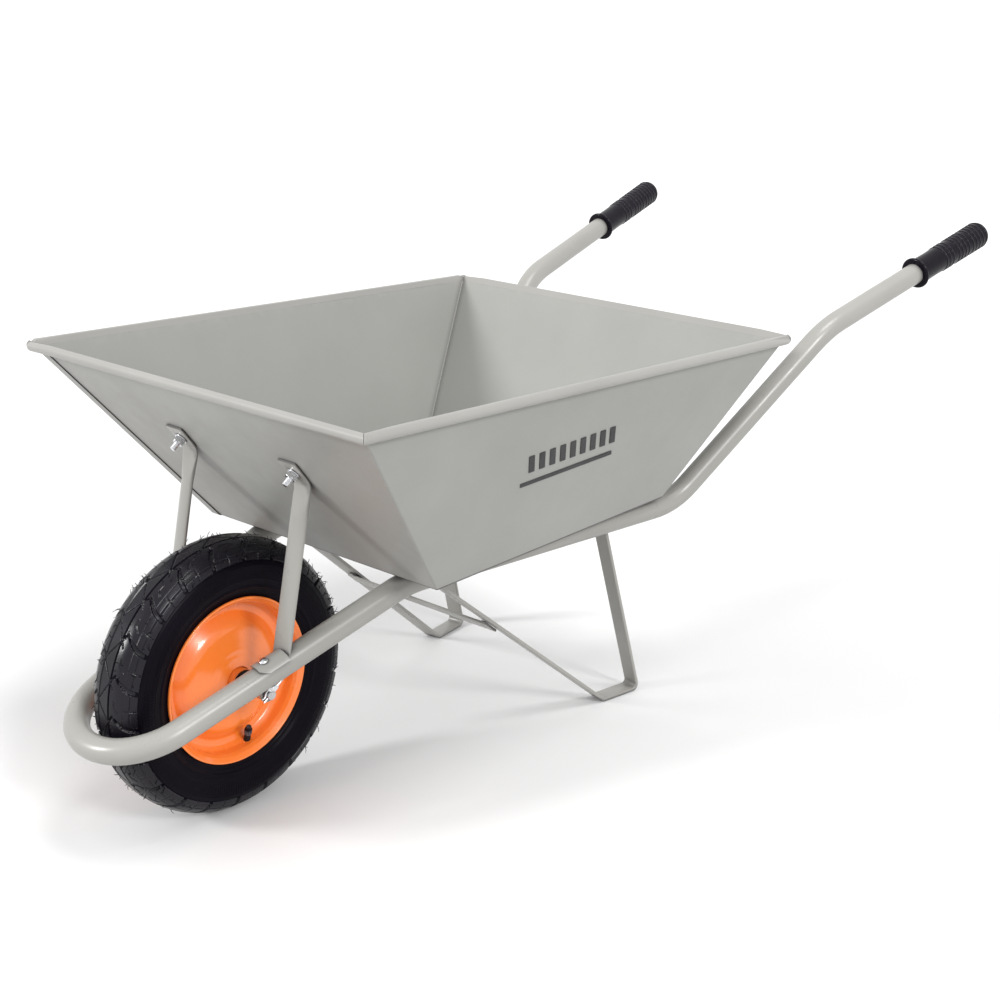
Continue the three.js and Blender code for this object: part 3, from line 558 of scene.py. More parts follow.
def frame_tube():
    tube_end = GRIP_START + HANDLE * (GRIP_LENGTH - 5 * MM)
    left = [tube_end, HANDLE_BEND, REAR_BEND, FRONT_BEND, LOOP_CORNER]
    corners = left + [mirrored(c, -1) for c in reversed(left)]
    line = filled(rounded(corners, BEND_RADII + BEND_RADII[::-1], radians(3)), 60 * MM)
    return swept(line, circle(TUBE_R, 48), ACROSS)


def grip_outline():
    """A stop flange like a rolled ring, a plain neck, then a hold with sets of raised rings."""
    flange = [(GRIP_FLANGE_R - GRIP_LIP_R + GRIP_LIP_R * cos(t), GRIP_LIP_R + GRIP_LIP_R * sin(t))
              for t in np.linspace(-pi / 2, pi / 2.4, 14)]
    at = np.arange(6.5 * MM, GRIP_LENGTH - GRIP_END_R, 0.3 * MM)
    radius = np.interp(at, mm(6, 40, 90, 160), GRIP_R + mm(0, -0.5, -0.1, 0.3))
    for first, count in RING_SETS:
        for k in range(count):
            radius += RING_RISE * np.exp(-((at - first - k * RING_PITCH) / RING_HALF) ** 2)
    turn = np.linspace(0.1, pi / 2, 10)
    cap_r = radius[-1] - GRIP_END_R * (1 - np.cos(turn))
    cap_at = GRIP_LENGTH - GRIP_END_R * (1 - np.sin(turn))
    return [(TUBE_R + GAP, 0)] + flange + list(zip(radius, at)) + list(zip(cap_r, cap_at))


def build_frame():
    fine("frame_tube", [frame_tube()], FRAME_PAINT)
    for side, sign in SIDES.items():
        sleeve = placed(lathe(grip_outline(), 72), mirrored(GRIP_START, sign), mirrored(HANDLE, sign))
        fine(f"grip_{side}", [sleeve], BLACK_PLASTIC, sharp=50)


# ---------------------------------------------------------------- tray
class Plane:
    """A plane with its normal pointing out of the tray."""

    def __init__(self, normal, point):
        self.normal = unit(normal)
        self.offset = self.normal @ np.asarray(point)

    def out(self, distance):
        return Plane(self.normal, self.normal * (self.offset + distance))


def meet(*planes):
    return np.linalg.solve([p.normal for p in planes], [p.offset for p in planes])


def through(points, inside):
    normal = np.cross(points[1] - points[0], points[2] - points[0])
    return Plane(normal if normal @ (points[0] - inside) > 0 else -normal, points[0])


INSET = np.array([RIM_INSET, 0, 0])
FRONT = through([RIM_FRONT - INSET, mirrored(RIM_FRONT - INSET, -1), FLOOR_FRONT], TRAY_MIDDLE)
REAR = through([RIM_REAR + INSET, mirrored(RIM_REAR + INSET, -1), FLOOR_REAR], TRAY_MIDDLE)
LEFT = through([RIM_FRONT - [0, RIM_INSET, 0], FLOOR_FRONT, FLOOR_REAR], TRAY_MIDDLE)
RIGHT = Plane(mirrored(LEFT.normal, -1), mirrored(LEFT.normal, -1) * LEFT.offset)
UNDER = through([FLOOR_FRONT, mirrored(FLOOR_FRONT, -1), FLOOR_REAR], TRAY_MIDDLE)
RIM = through([RIM_FRONT, mirrored(RIM_FRONT, -1), RIM_REAR], TRAY_MIDDLE)
# The sheets' enamel carries that painted shadow along its lower edges.
HEM = (-UNDER.normal, -UNDER.normal @ (FLOOR_FRONT + SHIFT))
SHEET_PAINT = painted("sheet_enamel", TRAY_GREY, 0.42, crease_shade=0.85, hem=HEM)


def sheet_rows():
    """Down a wall's outside, round its curled foot and up the inside: (inset, height plane)."""
    def corners(level):
        return np.array([meet(FRONT, LEFT, level), meet(FRONT, RIGHT, level), meet(REAR, LEFT, level)])

    top, high, low = RIM.out(-SHEET_TOP), RIM.out(-SHEET_BAND), UNDER.out(-CURL_R)
    heads, feet = corners(high), corners(low)
    shares = [k / 9 for k in range(1, 9)]
    middle = [through(feet * t + heads * (1 - t), TRAY_MIDDLE - 1000 * UP) for t in shares]
    arc = np.linspace(0, pi / 2, 6)
    outside = [(0.0, p) for p in [top, high] + middle + [low]]
    outside += [(CURL_R * (1 - cos(t)), UNDER.out(-CURL_R * (1 - sin(t)))) for t in arc[1:]]
    thin = CURL_R - SHEET
    inside = [(CURL_R - thin * cos(t), UNDER.out(-CURL_R + thin * sin(t))) for t in arc[::-1]]
    inside += [(SHEET, p) for p in middle[::-1] + [high, top]]
    return outside + inside


def chain(corners, radius, arc_steps=8, straight_steps=18):
    """Stations along corners rounded alike, always as many, so that rows of them join into a sheet."""
    points = [np.asarray(corners[0])]
    for before, here, after in zip(corners, corners[1:], corners[2:]):
        inward, onward = unit(before - here), unit(after - here)
        reach = radius / tan(acos(np.clip(inward @ onward, -1, 1)) / 2)
        start, end = here + inward * reach, here + onward * reach
        straight = range(1, straight_steps)
        points.extend(points[-1] + (start - points[-1]) * k / straight_steps for k in straight)
        for t in np.linspace(0, 1, arc_steps + 1):
            points.append((1 - t) ** 2 * start + 2 * t * (1 - t) * here + t ** 2 * end)
    last = points[-1]
    points.extend(last + (corners[-1] - last) * k / straight_steps for k in range(1, straight_steps + 1))
    return np.array(points)


def wall_sheet(first, first_end, second, lap_on, lap_end):
    """A folded sheet: the first wall from its end, round the corner into the second, and a lap."""
    rings = []
    for inset, level in sheet_rows():
        a, b = first.out(-inset), second.out(-inset)
        lap = lap_on.out(GAP + SHEET - inset)
        meetings = [(a, first_end), (a, b), (b, lap), (lap, lap_end)]
        corners = [meet(one, other, level) for one, other in meetings]
        rings.append(chain(corners, max(FOLD_R - inset, 0.4 * MM)))
    rings = dented(np.array(rings))
    return loft(np.swapaxes(rings, 0, 1))


def dented(rings):
    """Pushes a wall in and out a little, as handled sheet steel is, and not at all at its rim and foot."""
    rows = len(rings)
    height = np.concatenate([np.linspace(0, 1, rows // 2), np.linspace(1, 0, rows - rows // 2)])
    weight = np.sin(height * pi) ** 0.8
    x, y, z = np.moveaxis(rings / DENT_SPAN, -1, 0)
    wave = np.sin(1.3 * x + 0.7 * y + 2.1) + np.sin(1.1 * y - 1.7 * z + 0.4) + 0.6 * np.sin(2.9 * x - 2.3 * z)
    away = unit((rings - TRAY_MIDDLE) * [0.4, 1, 0.2])
    return rings + (DENT / 2.6 * wave * weight[:, None])[..., None] * away


def floor_face(level):
    """A grid of points over the tray's floor at one level, a little swollen by use."""
    inset = SHEET + GAP
    ends = [[meet(a.out(-inset), b.out(-inset), level) for b in (LEFT, RIGHT)] for a in (FRONT, REAR)]
    s, t = np.meshgrid(np.linspace(0, 1, 25), np.linspace(0, 1, 15), indexing="ij")
    s, t = s[..., None], t[..., None]
    front, rear = [left * (1 - t) + right * t for left, right in ends]
    swell = np.sin(s * pi) * np.sin(t * pi) * (0.5 - 0.3 * np.sin(7 * s + 3 * t))
    return front * (1 - s) + rear * s + UP * FLOOR_SWELL * swell


def tray_floor():
    bottom, top = [floor_face(UNDER.out(-depth - GAP)) for depth in (SHEET, 2 * SHEET)]
    rows, columns = top.shape[:2]
    points = np.vstack([top.reshape(-1, 3), bottom.reshape(-1, 3)])
    faces = grid_faces(rows, columns, False, False)
    count = rows * columns
    grid = np.arange(count).reshape(rows, columns)
    edge = [*grid[0], *grid[1:, -1], *grid[-1, -2::-1], *grid[-2:0:-1, 0]]
    walls = [[a, b, b + count, a + count] for a, b in zip(edge, edge[1:] + edge[:1])]
    return points, faces[:, ::-1].tolist() + (faces + count).tolist() + walls


def rim_bead():
    """The rolled top edge, flush with the walls' insides. Its ends meet in a mitre at the left front."""
    corners = [RIM_FRONT, RIM_REAR, mirrored(RIM_REAR, -1), mirrored(RIM_FRONT, -1), RIM_FRONT]
    stations = filled(rounded(corners, [BEAD_CORNER_R] * 3, radians(6)), 40 * MM)
    section = circle(BEAD_R, 40)
    sides, ups = side_and_up(stations, UP)
    rings = stations[:, None] + section[:, :1] * sides[:, None] + section[:, 1:] * ups[:, None]
    seam = unit(unit(RIM_REAR - RIM_FRONT) + unit(mirrored(RIM_FRONT, -1) - RIM_FRONT))
    mitre = np.cross(seam, RIM.normal)
    for end, towards in ((0, stations[1] - stations[0]), (-1, stations[-2] - stations[-1])):
        along = unit(towards)
        off = BEAD_SPLIT * np.sign(mitre @ along)
        distance = (off - (rings[end] - RIM_FRONT) @ mitre) / (mitre @ along)
        rings[end] = rings[end] + distance[:, None] * along
    for wall in (FRONT, REAR, LEFT, RIGHT):
        beyond = wall.offset - SHEET - rings @ wall.normal
        flush = np.where((beyond > 0) & (beyond < BEAD_R), beyond, 0)
        rings = rings + flush[..., None] * wall.normal
    return loft(rings)


def mark():
    """A plain printed mark on the left wall: a row of short slanted bars over a long one."""
    along = unit(FLOOR_REAR - FLOOR_FRONT)
    along = unit(along - LEFT.normal * (along @ LEFT.normal))
    upward = unit(np.cross(along, LEFT.normal))
    upward = upward if upward[2] > 0 else -upward
    centre = meet(LEFT, Plane([1, 0, 0], MARK_CENTRE), Plane(UP, MARK_CENTRE))
    parts = []
    for at, rise, width, height in mm(*MARK_BARS):
        half, top, slant = width / 2, height / 2, MARK_SLANT * height / 2
        flat = [(-half - slant, -top), (half - slant, -top), (half + slant, top), (-half + slant, top)]
        face = np.array([centre - along * (at + x) + upward * (rise + y) for x, y in flat])
        parts.append(loft([face + LEFT.normal * depth for depth in (0.55 * MM, 0.75 * MM)]))
    return parts


def build_tray():
    front_left = wall_sheet(FRONT, RIGHT.out(-SHEET - GAP), LEFT, REAR, LEFT.out(-LAP))
    rear_right = wall_sheet(REAR, LEFT.out(-SHEET - GAP), RIGHT, FRONT, RIGHT.out(-LAP))
    piece("tray_front_left_fine", [front_left], SHEET_PAINT, stands_for=["tray_sheet_front_left"], sharp=30)
    piece("tray_rear_right_fine", [rear_right], SHEET_PAINT, stands_for=["tray_sheet_rear_right"], sharp=30)
    fine("tray_floor", [tray_floor()], TRAY_PAINT, sharp=30)
    piece("tray_bead_fine", [rim_bead()], HIGHLIT_BEAD_PAINT, stands_for=["tray_rim_bead"])
    piece("tray_mark", mark(), MARK_INK)


# ---------------------------------------------------------------- legs and brace
RUN_TURN = atan2(REAR_BEND[1] - FRONT_BEND[1], FRONT_BEND[0] - REAR_BEND[0])
LEG_INSET = TUBE_R + GAP + LEG_WIDTH / 2


def leg_line():
    """A leg's middle line in its own upright plane, from the diagonal's top down and up to the upright's."""
    under = np.array([
        [FOOT_FRONT_X + LEG_TOP_Z / DIAGONAL_SLOPE, LEG_TOP_Z],
        [FOOT_FRONT_X, 0],
        [FOOT_REAR_X, 0],
        [FOOT_REAR_X + LEG_TOP_Z * UPRIGHT_LEAN, LEG_TOP_Z],
    ])
    under[:, 0] = (under[:, 0] - FRONT_BEND[0] + LEG_INSET * sin(RUN_TURN)) / cos(RUN_TURN)
    along = unit(under[1:] - under[:-1])
    normals = np.stack([along[:, 1], -along[:, 0]], -1)
    sums = np.vstack([2 * normals[:1], normals[:-1] + normals[1:], 2 * normals[-1:]])
    return under + sums * LEG_THICK / (sums ** 2).sum(1, keepdims=True)


def on_run(points, sign):
    """Points (along, across, z) beside the tube's straight run, in drawing coordinates."""
    c, s = cos(sign * RUN_TURN), sin(sign * RUN_TURN)
    x, y, z = np.moveaxis(points, -1, 0)
    return np.stack([x * c + y * s, y * c - x * s, z], -1) + [FRONT_BEND[0], sign * FRONT_BEND[1], 0]


def build_legs():
    line = leg_line()
    flat = np.stack([line[:, 0], np.zeros(4), line[:, 1]], -1)
    section = bar_section(LEG_WIDTH, LEG_THICK, 1.1 * MM)
    for side, sign in SIDES.items():
        corners = flat - [0, sign * LEG_INSET, 0]
        stations = filled(rounded(list(corners), [LEG_BEND_R] * 2, radians(8)), 25 * MM)
        points, faces = swept(stations, section, ACROSS)
        parts = [(on_run(points, sign), faces)]
        for k, (corner, inner) in enumerate(((corners[0], corners[1]), (corners[3], corners[2]))):
            inward = unit(inner - corner)
            for edge in (-1, 1):
                foot = corner + inward * 2 * MM + np.array([edge * LEG_THICK * 0.62, sign * LEG_WIDTH / 2, 0])
                tip = foot + inward * LEG_WELD_LENGTH
                parts.append(weld(on_run(np.array([foot, tip]), sign), LEG_WELD_R, 10 + k + sign))
        fine(f"leg_{side}", parts, FRAME_PAINT)


def brace():
    """The strip across the undersides of the diagonals, with its welds."""
    slope = atan(DIAGONAL_SLOPE)
    along = np.array([cos(slope), 0, sin(slope)])
    over = np.array([-sin(slope), 0, cos(slope)])
    skew = LEG_WIDTH / 2 * sin(RUN_TURN) * sin(slope)
    lift = -(GAP + BRACE_THICK / 2 + skew)
    x, _, z = FOOT_FRONT_X * np.array([1, 0, 0]) + along * BRACE_ALONG + over * lift
    half = FRONT_BEND[1] + (FRONT_BEND[0] - x) * tan(RUN_TURN) - LEG_INSET + LEG_WIDTH / 2 - BRACE_INSET
    stations = filled(np.array([[x, -half, z], [x, half, z]]), 30 * MM)
    parts = [swept(stations, bar_section(BRACE_WIDTH, BRACE_THICK, 0.9 * MM), along)]
    for sign in SIDES.values():
        for edge in (-1, 1):
            at = np.array([x, sign * (half - 11 * MM), z]) + along * edge * BRACE_WIDTH / 2
            at = at + over * BRACE_THICK * 0.4
            ends = np.array([at, at + [0, sign * BRACE_WELD_LENGTH, 0]])
            parts.append(weld(ends, BRACE_WELD_R, 30 + sign + edge))
    return parts


# ---------------------------------------------------------------- fasteners
def threaded(start, end, radius=BOLT_R):
    """Outline of a threaded shank between two heights: a ridge for each pitch."""
    points = []
    for at in np.arange(start, end, THREAD_PITCH):
        points += [(radius, at), (radius - 0.62 * MM, at + THREAD_PITCH / 2)]
    return points + [(radius - 0.2 * MM, end - 0.6 * MM), (radius - 1.1 * MM, end)]


def bolt(length, head_r=8.5 * MM, head_h=4 * MM, thread=14 * MM):
    """A domed bolt, its head under z = 0 and its threaded shank above."""
    turn = np.linspace(0.1, pi / 2, 12)
    dome = [(head_r * sin(t), -head_h * cos(t) * 0.88 - 0.5 * MM) for t in turn]
    neck = [(head_r, 0.0), (BOLT_R, 0.0), (BOLT_R, length - thread)]
    return lathe(dome + neck + threaded(length - thread + 0.3 * MM, length), 36)


def hex_nut():
    """A six-sided nut with its corners turned off top and bottom, and a threaded bore."""
    sides = 96
    turn = np.arange(sides) * 2 * pi / sides
    flat = NUT_R * cos(pi / 6) / np.cos((turn + pi / 6) % (pi / 3) - pi / 6)
    inner = np.full(sides, BOLT_R + 0.15 * MM)
    rows = []
    for limit, at in ((0.90, 0.0), (0.955, 0.45 * MM), (1.0, 1.0 * MM)):
        rows.append((np.minimum(flat, NUT_R * limit), at))
    rows += [(radius, NUT_H - at) for radius, at in reversed(rows)]
    bore = [(inner + 0.6 * MM, NUT_H), (inner, NUT_H - 0.6 * MM), (inner, 0.6 * MM), (inner + 0.6 * MM, 0.0)]
    rings = []
    for radius, at in rows + bore:
        rings.append(np.stack([radius * np.cos(turn), radius * np.sin(turn), np.full(sides, at)], -1))
    return loft(np.array(rings), closed=True)


def washer():
    outline = [(WASHER_R, 0), (WASHER_R, WASHER_H), (BOLT_R + GAP, WASHER_H), (BOLT_R + GAP, 0)]
    return lathe(softened(outline, 0.35 * MM, ring=True), 56, ring=True)


def strut_bolt_place(sign):
    """The bolt's hole in the tray's front, the way up that face, and the way out of it."""
    in_face = np.cross(ACROSS, FRONT.normal)
    in_face = in_face if in_face[2] > 0 else -in_face
    knee = meet(FRONT, Plane(UP, UP * STRUT_KNEE_Z), Plane(ACROSS, [0, 0, 0]))
    place = knee + in_face * STRUT_BOLT_UP
    return np.array([place[0], sign * STRUT_Y, place[2]]), in_face, FRONT.normal


def build_fasteners():
    for side, sign in SIDES.items():
        place, in_face, outward = strut_bolt_place(sign)
        stack = STRUT_THICK + 2 * GAP
        fastener(f"strut_bolt_{side}", bolt(24 * MM), place - outward * (SHEET + GAP), outward)
        fastener(f"strut_washer_{side}", washer(), place + outward * stack, outward)
        fastener(f"strut_nut_{side}", hex_nut(), place + outward * (stack + WASHER_H + GAP), outward, in_face)
        middle, up = saddle_bolt(sign)
        head = middle + up * (TUBE_R + STRUT_THICK + 2 * GAP)
        fastener(f"tube_bolt_{side}", bolt(46 * MM, 6 * MM, 3.4 * MM), head, -up)
        fastener(f"tube_nut_{side}", hex_nut(), middle - up * (TUBE_R + GAP), -up)


def fastener(node, part, origin, axis, hint=(0.0, 0.0, 1.0)):
    fine(node, [placed(part, origin, axis, hint)], ZINC, sharp=28)


# ---------------------------------------------------------------- struts
def strut_post(sign):
    """The flattened tube: oval at its middle, a paddle on the tray and a strap at the saddle."""
    place, in_face, outward = strut_bolt_place(sign)
    bolt_at = place + outward * (GAP + STRUT_THICK / 2)
    knee = bolt_at - in_face * STRUT_BOLT_UP
    tip = knee + in_face * STRUT_TONGUE
    foot = np.array([STRUT_FOOT[0], sign * STRUT_Y, STRUT_FOOT[2]])
    line = filled(rounded([foot, knee, tip], [STRUT_KNEE_R], radians(4)), 3.2 * MM)
    steps = np.linalg.norm(np.diff(line, axis=0), axis=1)
    at = np.concatenate([[0], np.cumsum(steps)])
    end = at[-1]
    paddle = end - STRUT_TONGUE
    width_at = [0, 22 * MM, 60 * MM, paddle - 26 * MM, paddle + 14 * MM, end - 4 * MM, end]
    width = np.interp(at, width_at, mm(25.4, 25.4, 25.2, 25.2, 30.5, 31.5, 29.5))
    pressed_at = [12 * MM, 46 * MM, paddle - 40 * MM, paddle - 4 * MM, end]
    thick = np.interp(at, [0] + pressed_at, mm(3.4, 3.6, 8.6, 8.6, 3.3, 3.2))
    power = np.interp(at, [0, 14 * MM] + pressed_at[1:], [7, 6, 2.2, 2.2, 7, 8])
    turn = np.interp(at, [0, paddle - 40 * MM, paddle - 8 * MM], [1, 1, 0]) * STRUT_TURN * sign
    sides, ups = side_and_up(line, ACROSS)
    rings = []
    for k, station in enumerate(line):
        oval = squashed(width[k], thick[k], power[k])
        c, s = cos(turn[k]), sin(turn[k])
        across = sides[k] * c + ups[k] * s
        through_it = ups[k] * c - sides[k] * s
        rings.append(station + oval[:, :1] * across + oval[:, 1:] * through_it)
    return loft(rings)


def strut_saddle(sign):
    """The curved foot that clasps the top of the frame tube."""
    along, across, up, at_axle = front_run(sign)
    heel = at_axle + along * (STRUT_FOOT[0] - 4 * MM) / along[0]
    rings = []
    for t in np.linspace(0, 1, 22):
        spread = SADDLE_ARC * (0.55 + 0.45 * sin(min(1, (1 - t) * 3.2) * pi / 2))
        turn = np.linspace(-spread, spread, 25)
        arc = np.stack([np.sin(turn), np.cos(turn)], -1)
        section = np.vstack([(TUBE_R + GAP + STRUT_THICK) * arc, (TUBE_R + GAP) * arc[::-1]])
        rings.append(heel + along * SADDLE_LENGTH * t + section[:, :1] * across + section[:, 1:] * up)
    return loft(rings)


def build_struts():
    for side, sign in SIDES.items():
        fine(f"strut_{side}", [strut_post(sign), strut_saddle(sign)], FRAME_PAINT, sharp=35)


# ---------------------------------------------------------------- tyre
# Half of the outer section: (radius, sideways), from past the middle to inside the bead.
TYRE_OUTLINE = mm(
    (178, -9), (178, 0), (178, 9), (174.5, 22), (166, 33), (151, 39),
    (137, 40), (122, 36.5), (111, 31.5), (102.3, 28.5), (100, 26),
)


def smooth_outline():
    """The tyre's outer section from its middle to its bead, as (distance along it, radius, sideways)."""
    p = TYRE_OUTLINE
    points = []
    for k in range(1, len(p) - 2):
        for t in np.linspace(0, 1, 24, endpoint=False):
            a, b = p[k + 1] - p[k - 1], p[k + 2] - p[k]
            h1, h2 = (1 + 2 * t) * (1 - t) ** 2, t * (1 - t) ** 2
            h3, h4 = t * t * (3 - 2 * t), t * t * (t - 1)
            points.append(h1 * p[k] + h2 * a / 2 + h3 * p[k + 1] + h4 * b / 2)
    points = np.array(points + [p[-2]])
    points[:, 0] = np.minimum(points[:, 0], TYRE_R)
    length = np.concatenate([[0], np.cumsum(np.linalg.norm(np.diff(points, axis=0), axis=1))])
    return length, points


OUTLINE_AT, OUTLINE = smooth_outline()


def tyre_point(at, lift):
    """(radius, sideways) at a distance along the outer section, lifted off it along its normal."""
    position = np.stack([np.interp(at, OUTLINE_AT, OUTLINE[:, k]) for k in (0, 1)], -1)
    step = 0.8 * MM
    ahead = np.stack([np.interp(at + step, OUTLINE_AT, OUTLINE[:, k]) for k in (0, 1)], -1)
    behind = np.stack([np.interp(np.maximum(at - step, 0), OUTLINE_AT, OUTLINE[:, k]) for k in (0, 1)], -1)
    tangent = unit(ahead - behind)
    normal = np.stack([tangent[..., 1], -tangent[..., 0]], -1)
    return position + normal * lift[..., None]


def distance_to(around, at, corners):
    """Distance in the unrolled tread from each point to a polyline that repeats every pitch."""
    best = np.full(around.shape, 1.0)
    for shift in (-TREAD_PITCH, 0, TREAD_PITCH):
        for (x0, y0), (x1, y1) in zip(corners, corners[1:]):
            dx, dy = x1 - x0, y1 - y0
            t = ((around - x0 - shift) * dx + (at - y0) * dy) / (dx * dx + dy * dy)
            t = np.clip(t, 0, 1)
            best = np.minimum(best, np.hypot(around - x0 - shift - t * dx, at - y0 - t * dy))
    return best


def groove(distance, width, depth, wall=0.35 * MM):
    """Height of a groove with steep, slightly sloping walls."""
    t = np.clip((distance - (width / 2 - wall)) / (2 * wall), 0, 1)
    return -depth * (1 - t * t * (3 - 2 * t))


def tread_cuts():
    """The grooves of one pitch of unrolled tread: corners (around, out from the middle), width and depth."""
    pitch = TREAD_PITCH / MM
    node, hook = (0, 9), (8.5, 14.8)
    cuts = [
        ([(-pitch, 9), (2 * pitch, 9)], 1.9, 2.6),
        ([node, (pitch / 2, -9)], 1.2, 1.7),
        ([node, (-pitch / 2, -9)], 1.2, 1.7),
        ([node, hook], 2.6, 2.6),
        ([(-8.5, 14.7), (-3, 11.6)], 1.1, 1.3),
        ([(15, 24), (22, 18), (29.5, 18)], 1.1, 1.4),
        ([(-pitch, 29), (2 * pitch, 29)], 0.9, 0.5),
        ([(19, 29.5), (16, 47)], 1.0, 0.9),
        ([(-4.5, 37.5), (14, 37.5)], 1.1, 0.9),
        ([(20, 37.5), (pitch - 10.5, 37.5)], 1.1, 0.9),
    ]
    return [(mm(*corners), width * MM, depth * MM) for corners, width, depth in cuts]


# The wide groove that sweeps from the tread's middle out over its shoulder.
SWEEP = mm(
    (8.5, 14.8), (7, 17), (3, 20.8), (-0.5, 24.8), (-3.7, 29.0),
    (-6.2, 33.6), (-8.2, 39), (-9.4, 44.8), (-10, 50),
)


def tread_height(around, at):
    """Height over one pitch of unrolled tread: around runs with the wheel's turn, at out from the middle."""
    height = np.zeros(around.shape)
    for corners, width, depth in tread_cuts():
        height = np.minimum(height, groove(distance_to(around, at, corners), width, depth))
    widening = 1.3 * MM * np.clip((at - 16 * MM) / (14 * MM), 0, 1)
    height = np.minimum(height, groove(distance_to(around, at, SWEEP) - widening, 3 * MM, 3 * MM))
    brick = 0.14 * MM * np.sign(np.sin(2 * pi * at / (2.3 * MM))) * (at > 30 * MM) * (at < 46 * MM)
    height = height + brick * (height > -0.2 * MM)
    step = np.clip((at - 46.5 * MM) / (1.4 * MM), 0, 1)
    return np.minimum(height, -1.7 * MM * step)


def around_wheel(radius, sideways, angles, sign):
    """Points at the given radii, sideways distances and angles round the axle."""
    x = radius * np.cos(angles)
    z = radius * np.sin(angles) + AXLE[2]
    return np.stack([x, sign * np.broadcast_to(sideways, x.shape), z], -1)


def tyre_tread(sign):
    """Half of the tread, cut with its pattern, closed underneath."""
    at = np.linspace(0, TREAD_EDGE, TREAD_ROWS)
    columns = TREAD_PITCHES * TREAD_COLUMNS
    angles = np.arange(columns) * 2 * pi / columns
    phase = 0 if sign > 0 else TREAD_PITCH / 2
    local = (angles[:TREAD_COLUMNS] * TYRE_R + phase) % TREAD_PITCH
    around, out = np.meshgrid(local, at, indexing="ij")
    height = np.tile(tread_height(around, out), (TREAD_PITCHES, 1))
    top = tyre_point(np.broadcast_to(at, height.shape), height)
    foot_at = np.array([TREAD_EDGE, TREAD_EDGE * 0.9, 0.0])
    foot = tyre_point(foot_at, mm(-4.5, -7.0, -7.0))
    foot = np.broadcast_to(foot, (columns, 3, 2))
    section = np.concatenate([top, foot], axis=1)
    rings = around_wheel(section[..., 0], section[..., 1], angles[:, None], sign)
    return loft(rings, closed=True)


def wall_height(at, angles):
    """Height over the side wall: thin raised rings, a rim-guard ring and patches of fine radial ribs."""
    height = np.zeros(np.broadcast(at, angles).shape)
    for place, width, rise in mm(*WALL_RINGS):
        offset = np.abs(at - place) / (width / 2)
        height = height + rise * np.clip(1.25 - offset, 0, 1)
    pitch = 2 * pi / (TREAD_PITCHES * WALL_COLUMNS)
    ribs = 0.5 + 0.5 * np.cos(angles / (4 * pitch) * 2 * pi)
    patch = np.clip(6 * np.cos(5 * angles + 0.6) + 1.5, 0, 1)
    band = np.clip((at - 55.5 * MM) / MM, 0, 1) * np.clip((70.5 * MM - at) / MM, 0, 1)
    return height + 0.35 * MM * ribs * patch * band


def tyre_wall(sign):
    """One side wall, from under the tread's edge to the bead and back up inside."""
    inner_end = OUTLINE_AT[-1] / MM
    at = np.concatenate([np.arange(44, 52, 2.0), np.arange(52, 93, 0.75), np.arange(93, inner_end, 1.2)]) * MM
    columns = TREAD_PITCHES * WALL_COLUMNS
    angles = np.arange(columns) * 2 * pi / columns
    sunk = -1.9 * MM * (1 - np.clip((at - 47 * MM) / (3 * MM), 0, 1)) - 0.6 * MM
    height = wall_height(at[None, :], angles[:, None]) + sunk
    outer = tyre_point(np.broadcast_to(at, height.shape), height)
    inner = mm((101.3, 20.5), (111, 25), (122, 30.5), (140, 33), (158, 26))
    section = np.concatenate([outer, np.broadcast_to(inner, (columns,) + inner.shape)], axis=1)
    rings = around_wheel(section[..., 0], section[..., 1], angles[:, None], sign)
    return loft(rings, closed=True)


def tyre_hairs(sign):
    """Moulding hairs left on the tread's shoulders and middle, none where the tyre meets the ground."""
    rng = np.random.default_rng(7 + sign)
    parts = []
    for _ in range(HAIRS):
        angle = rng.uniform(0, 2 * pi)
        at = rng.choice(HAIR_PLACES) * MM
        length = rng.uniform(2.5, 8.0) * MM
        lean = rng.uniform(-1.3, 1.3)
        sideways = rng.uniform(-0.5, 0.9)
        if abs(angle - 1.5 * pi) < HAIRLESS:
            continue
        radius, y = tyre_point(np.array(at), np.array(-0.3 * MM))
        outward = np.array([cos(angle), 0, sin(angle)])
        tangent = np.array([-sin(angle), 0, cos(angle)])
        root = outward * radius + [0, sign * y, AXLE[2]]
        reach = min(length, (3.5 if at < 25 * MM else 7.0) * MM)
        tip = root + outward * reach + tangent * lean * length + ACROSS * sign * sideways * length * 0.6
        bend = (root + tip) / 2 + outward * reach * 0.2
        line = np.array([root, root * 0.3 + bend * 0.7, bend, tip])
        taper = np.array([1, 0.95, 0.85, 0.5])[:, None, None]
        parts.append(swept(line, circle(HAIR_R, 6) * taper, tangent + 0.3 * ACROSS))
    return parts


def build_tyre():
    for side, sign in SIDES.items():
        nodes = ["tyre"] if sign > 0 else []
        piece(f"tyre_tread_{side}", [tyre_tread(sign)], SHEENED_TREAD_RUBBER, "wheel", nodes, sharp=60)
        piece(f"tyre_wall_{side}", [tyre_wall(sign)], WALL_RUBBER, "wheel", sharp=60)
        piece(f"tyre_hairs_{side}", tyre_hairs(sign), WALL_RUBBER, "wheel")


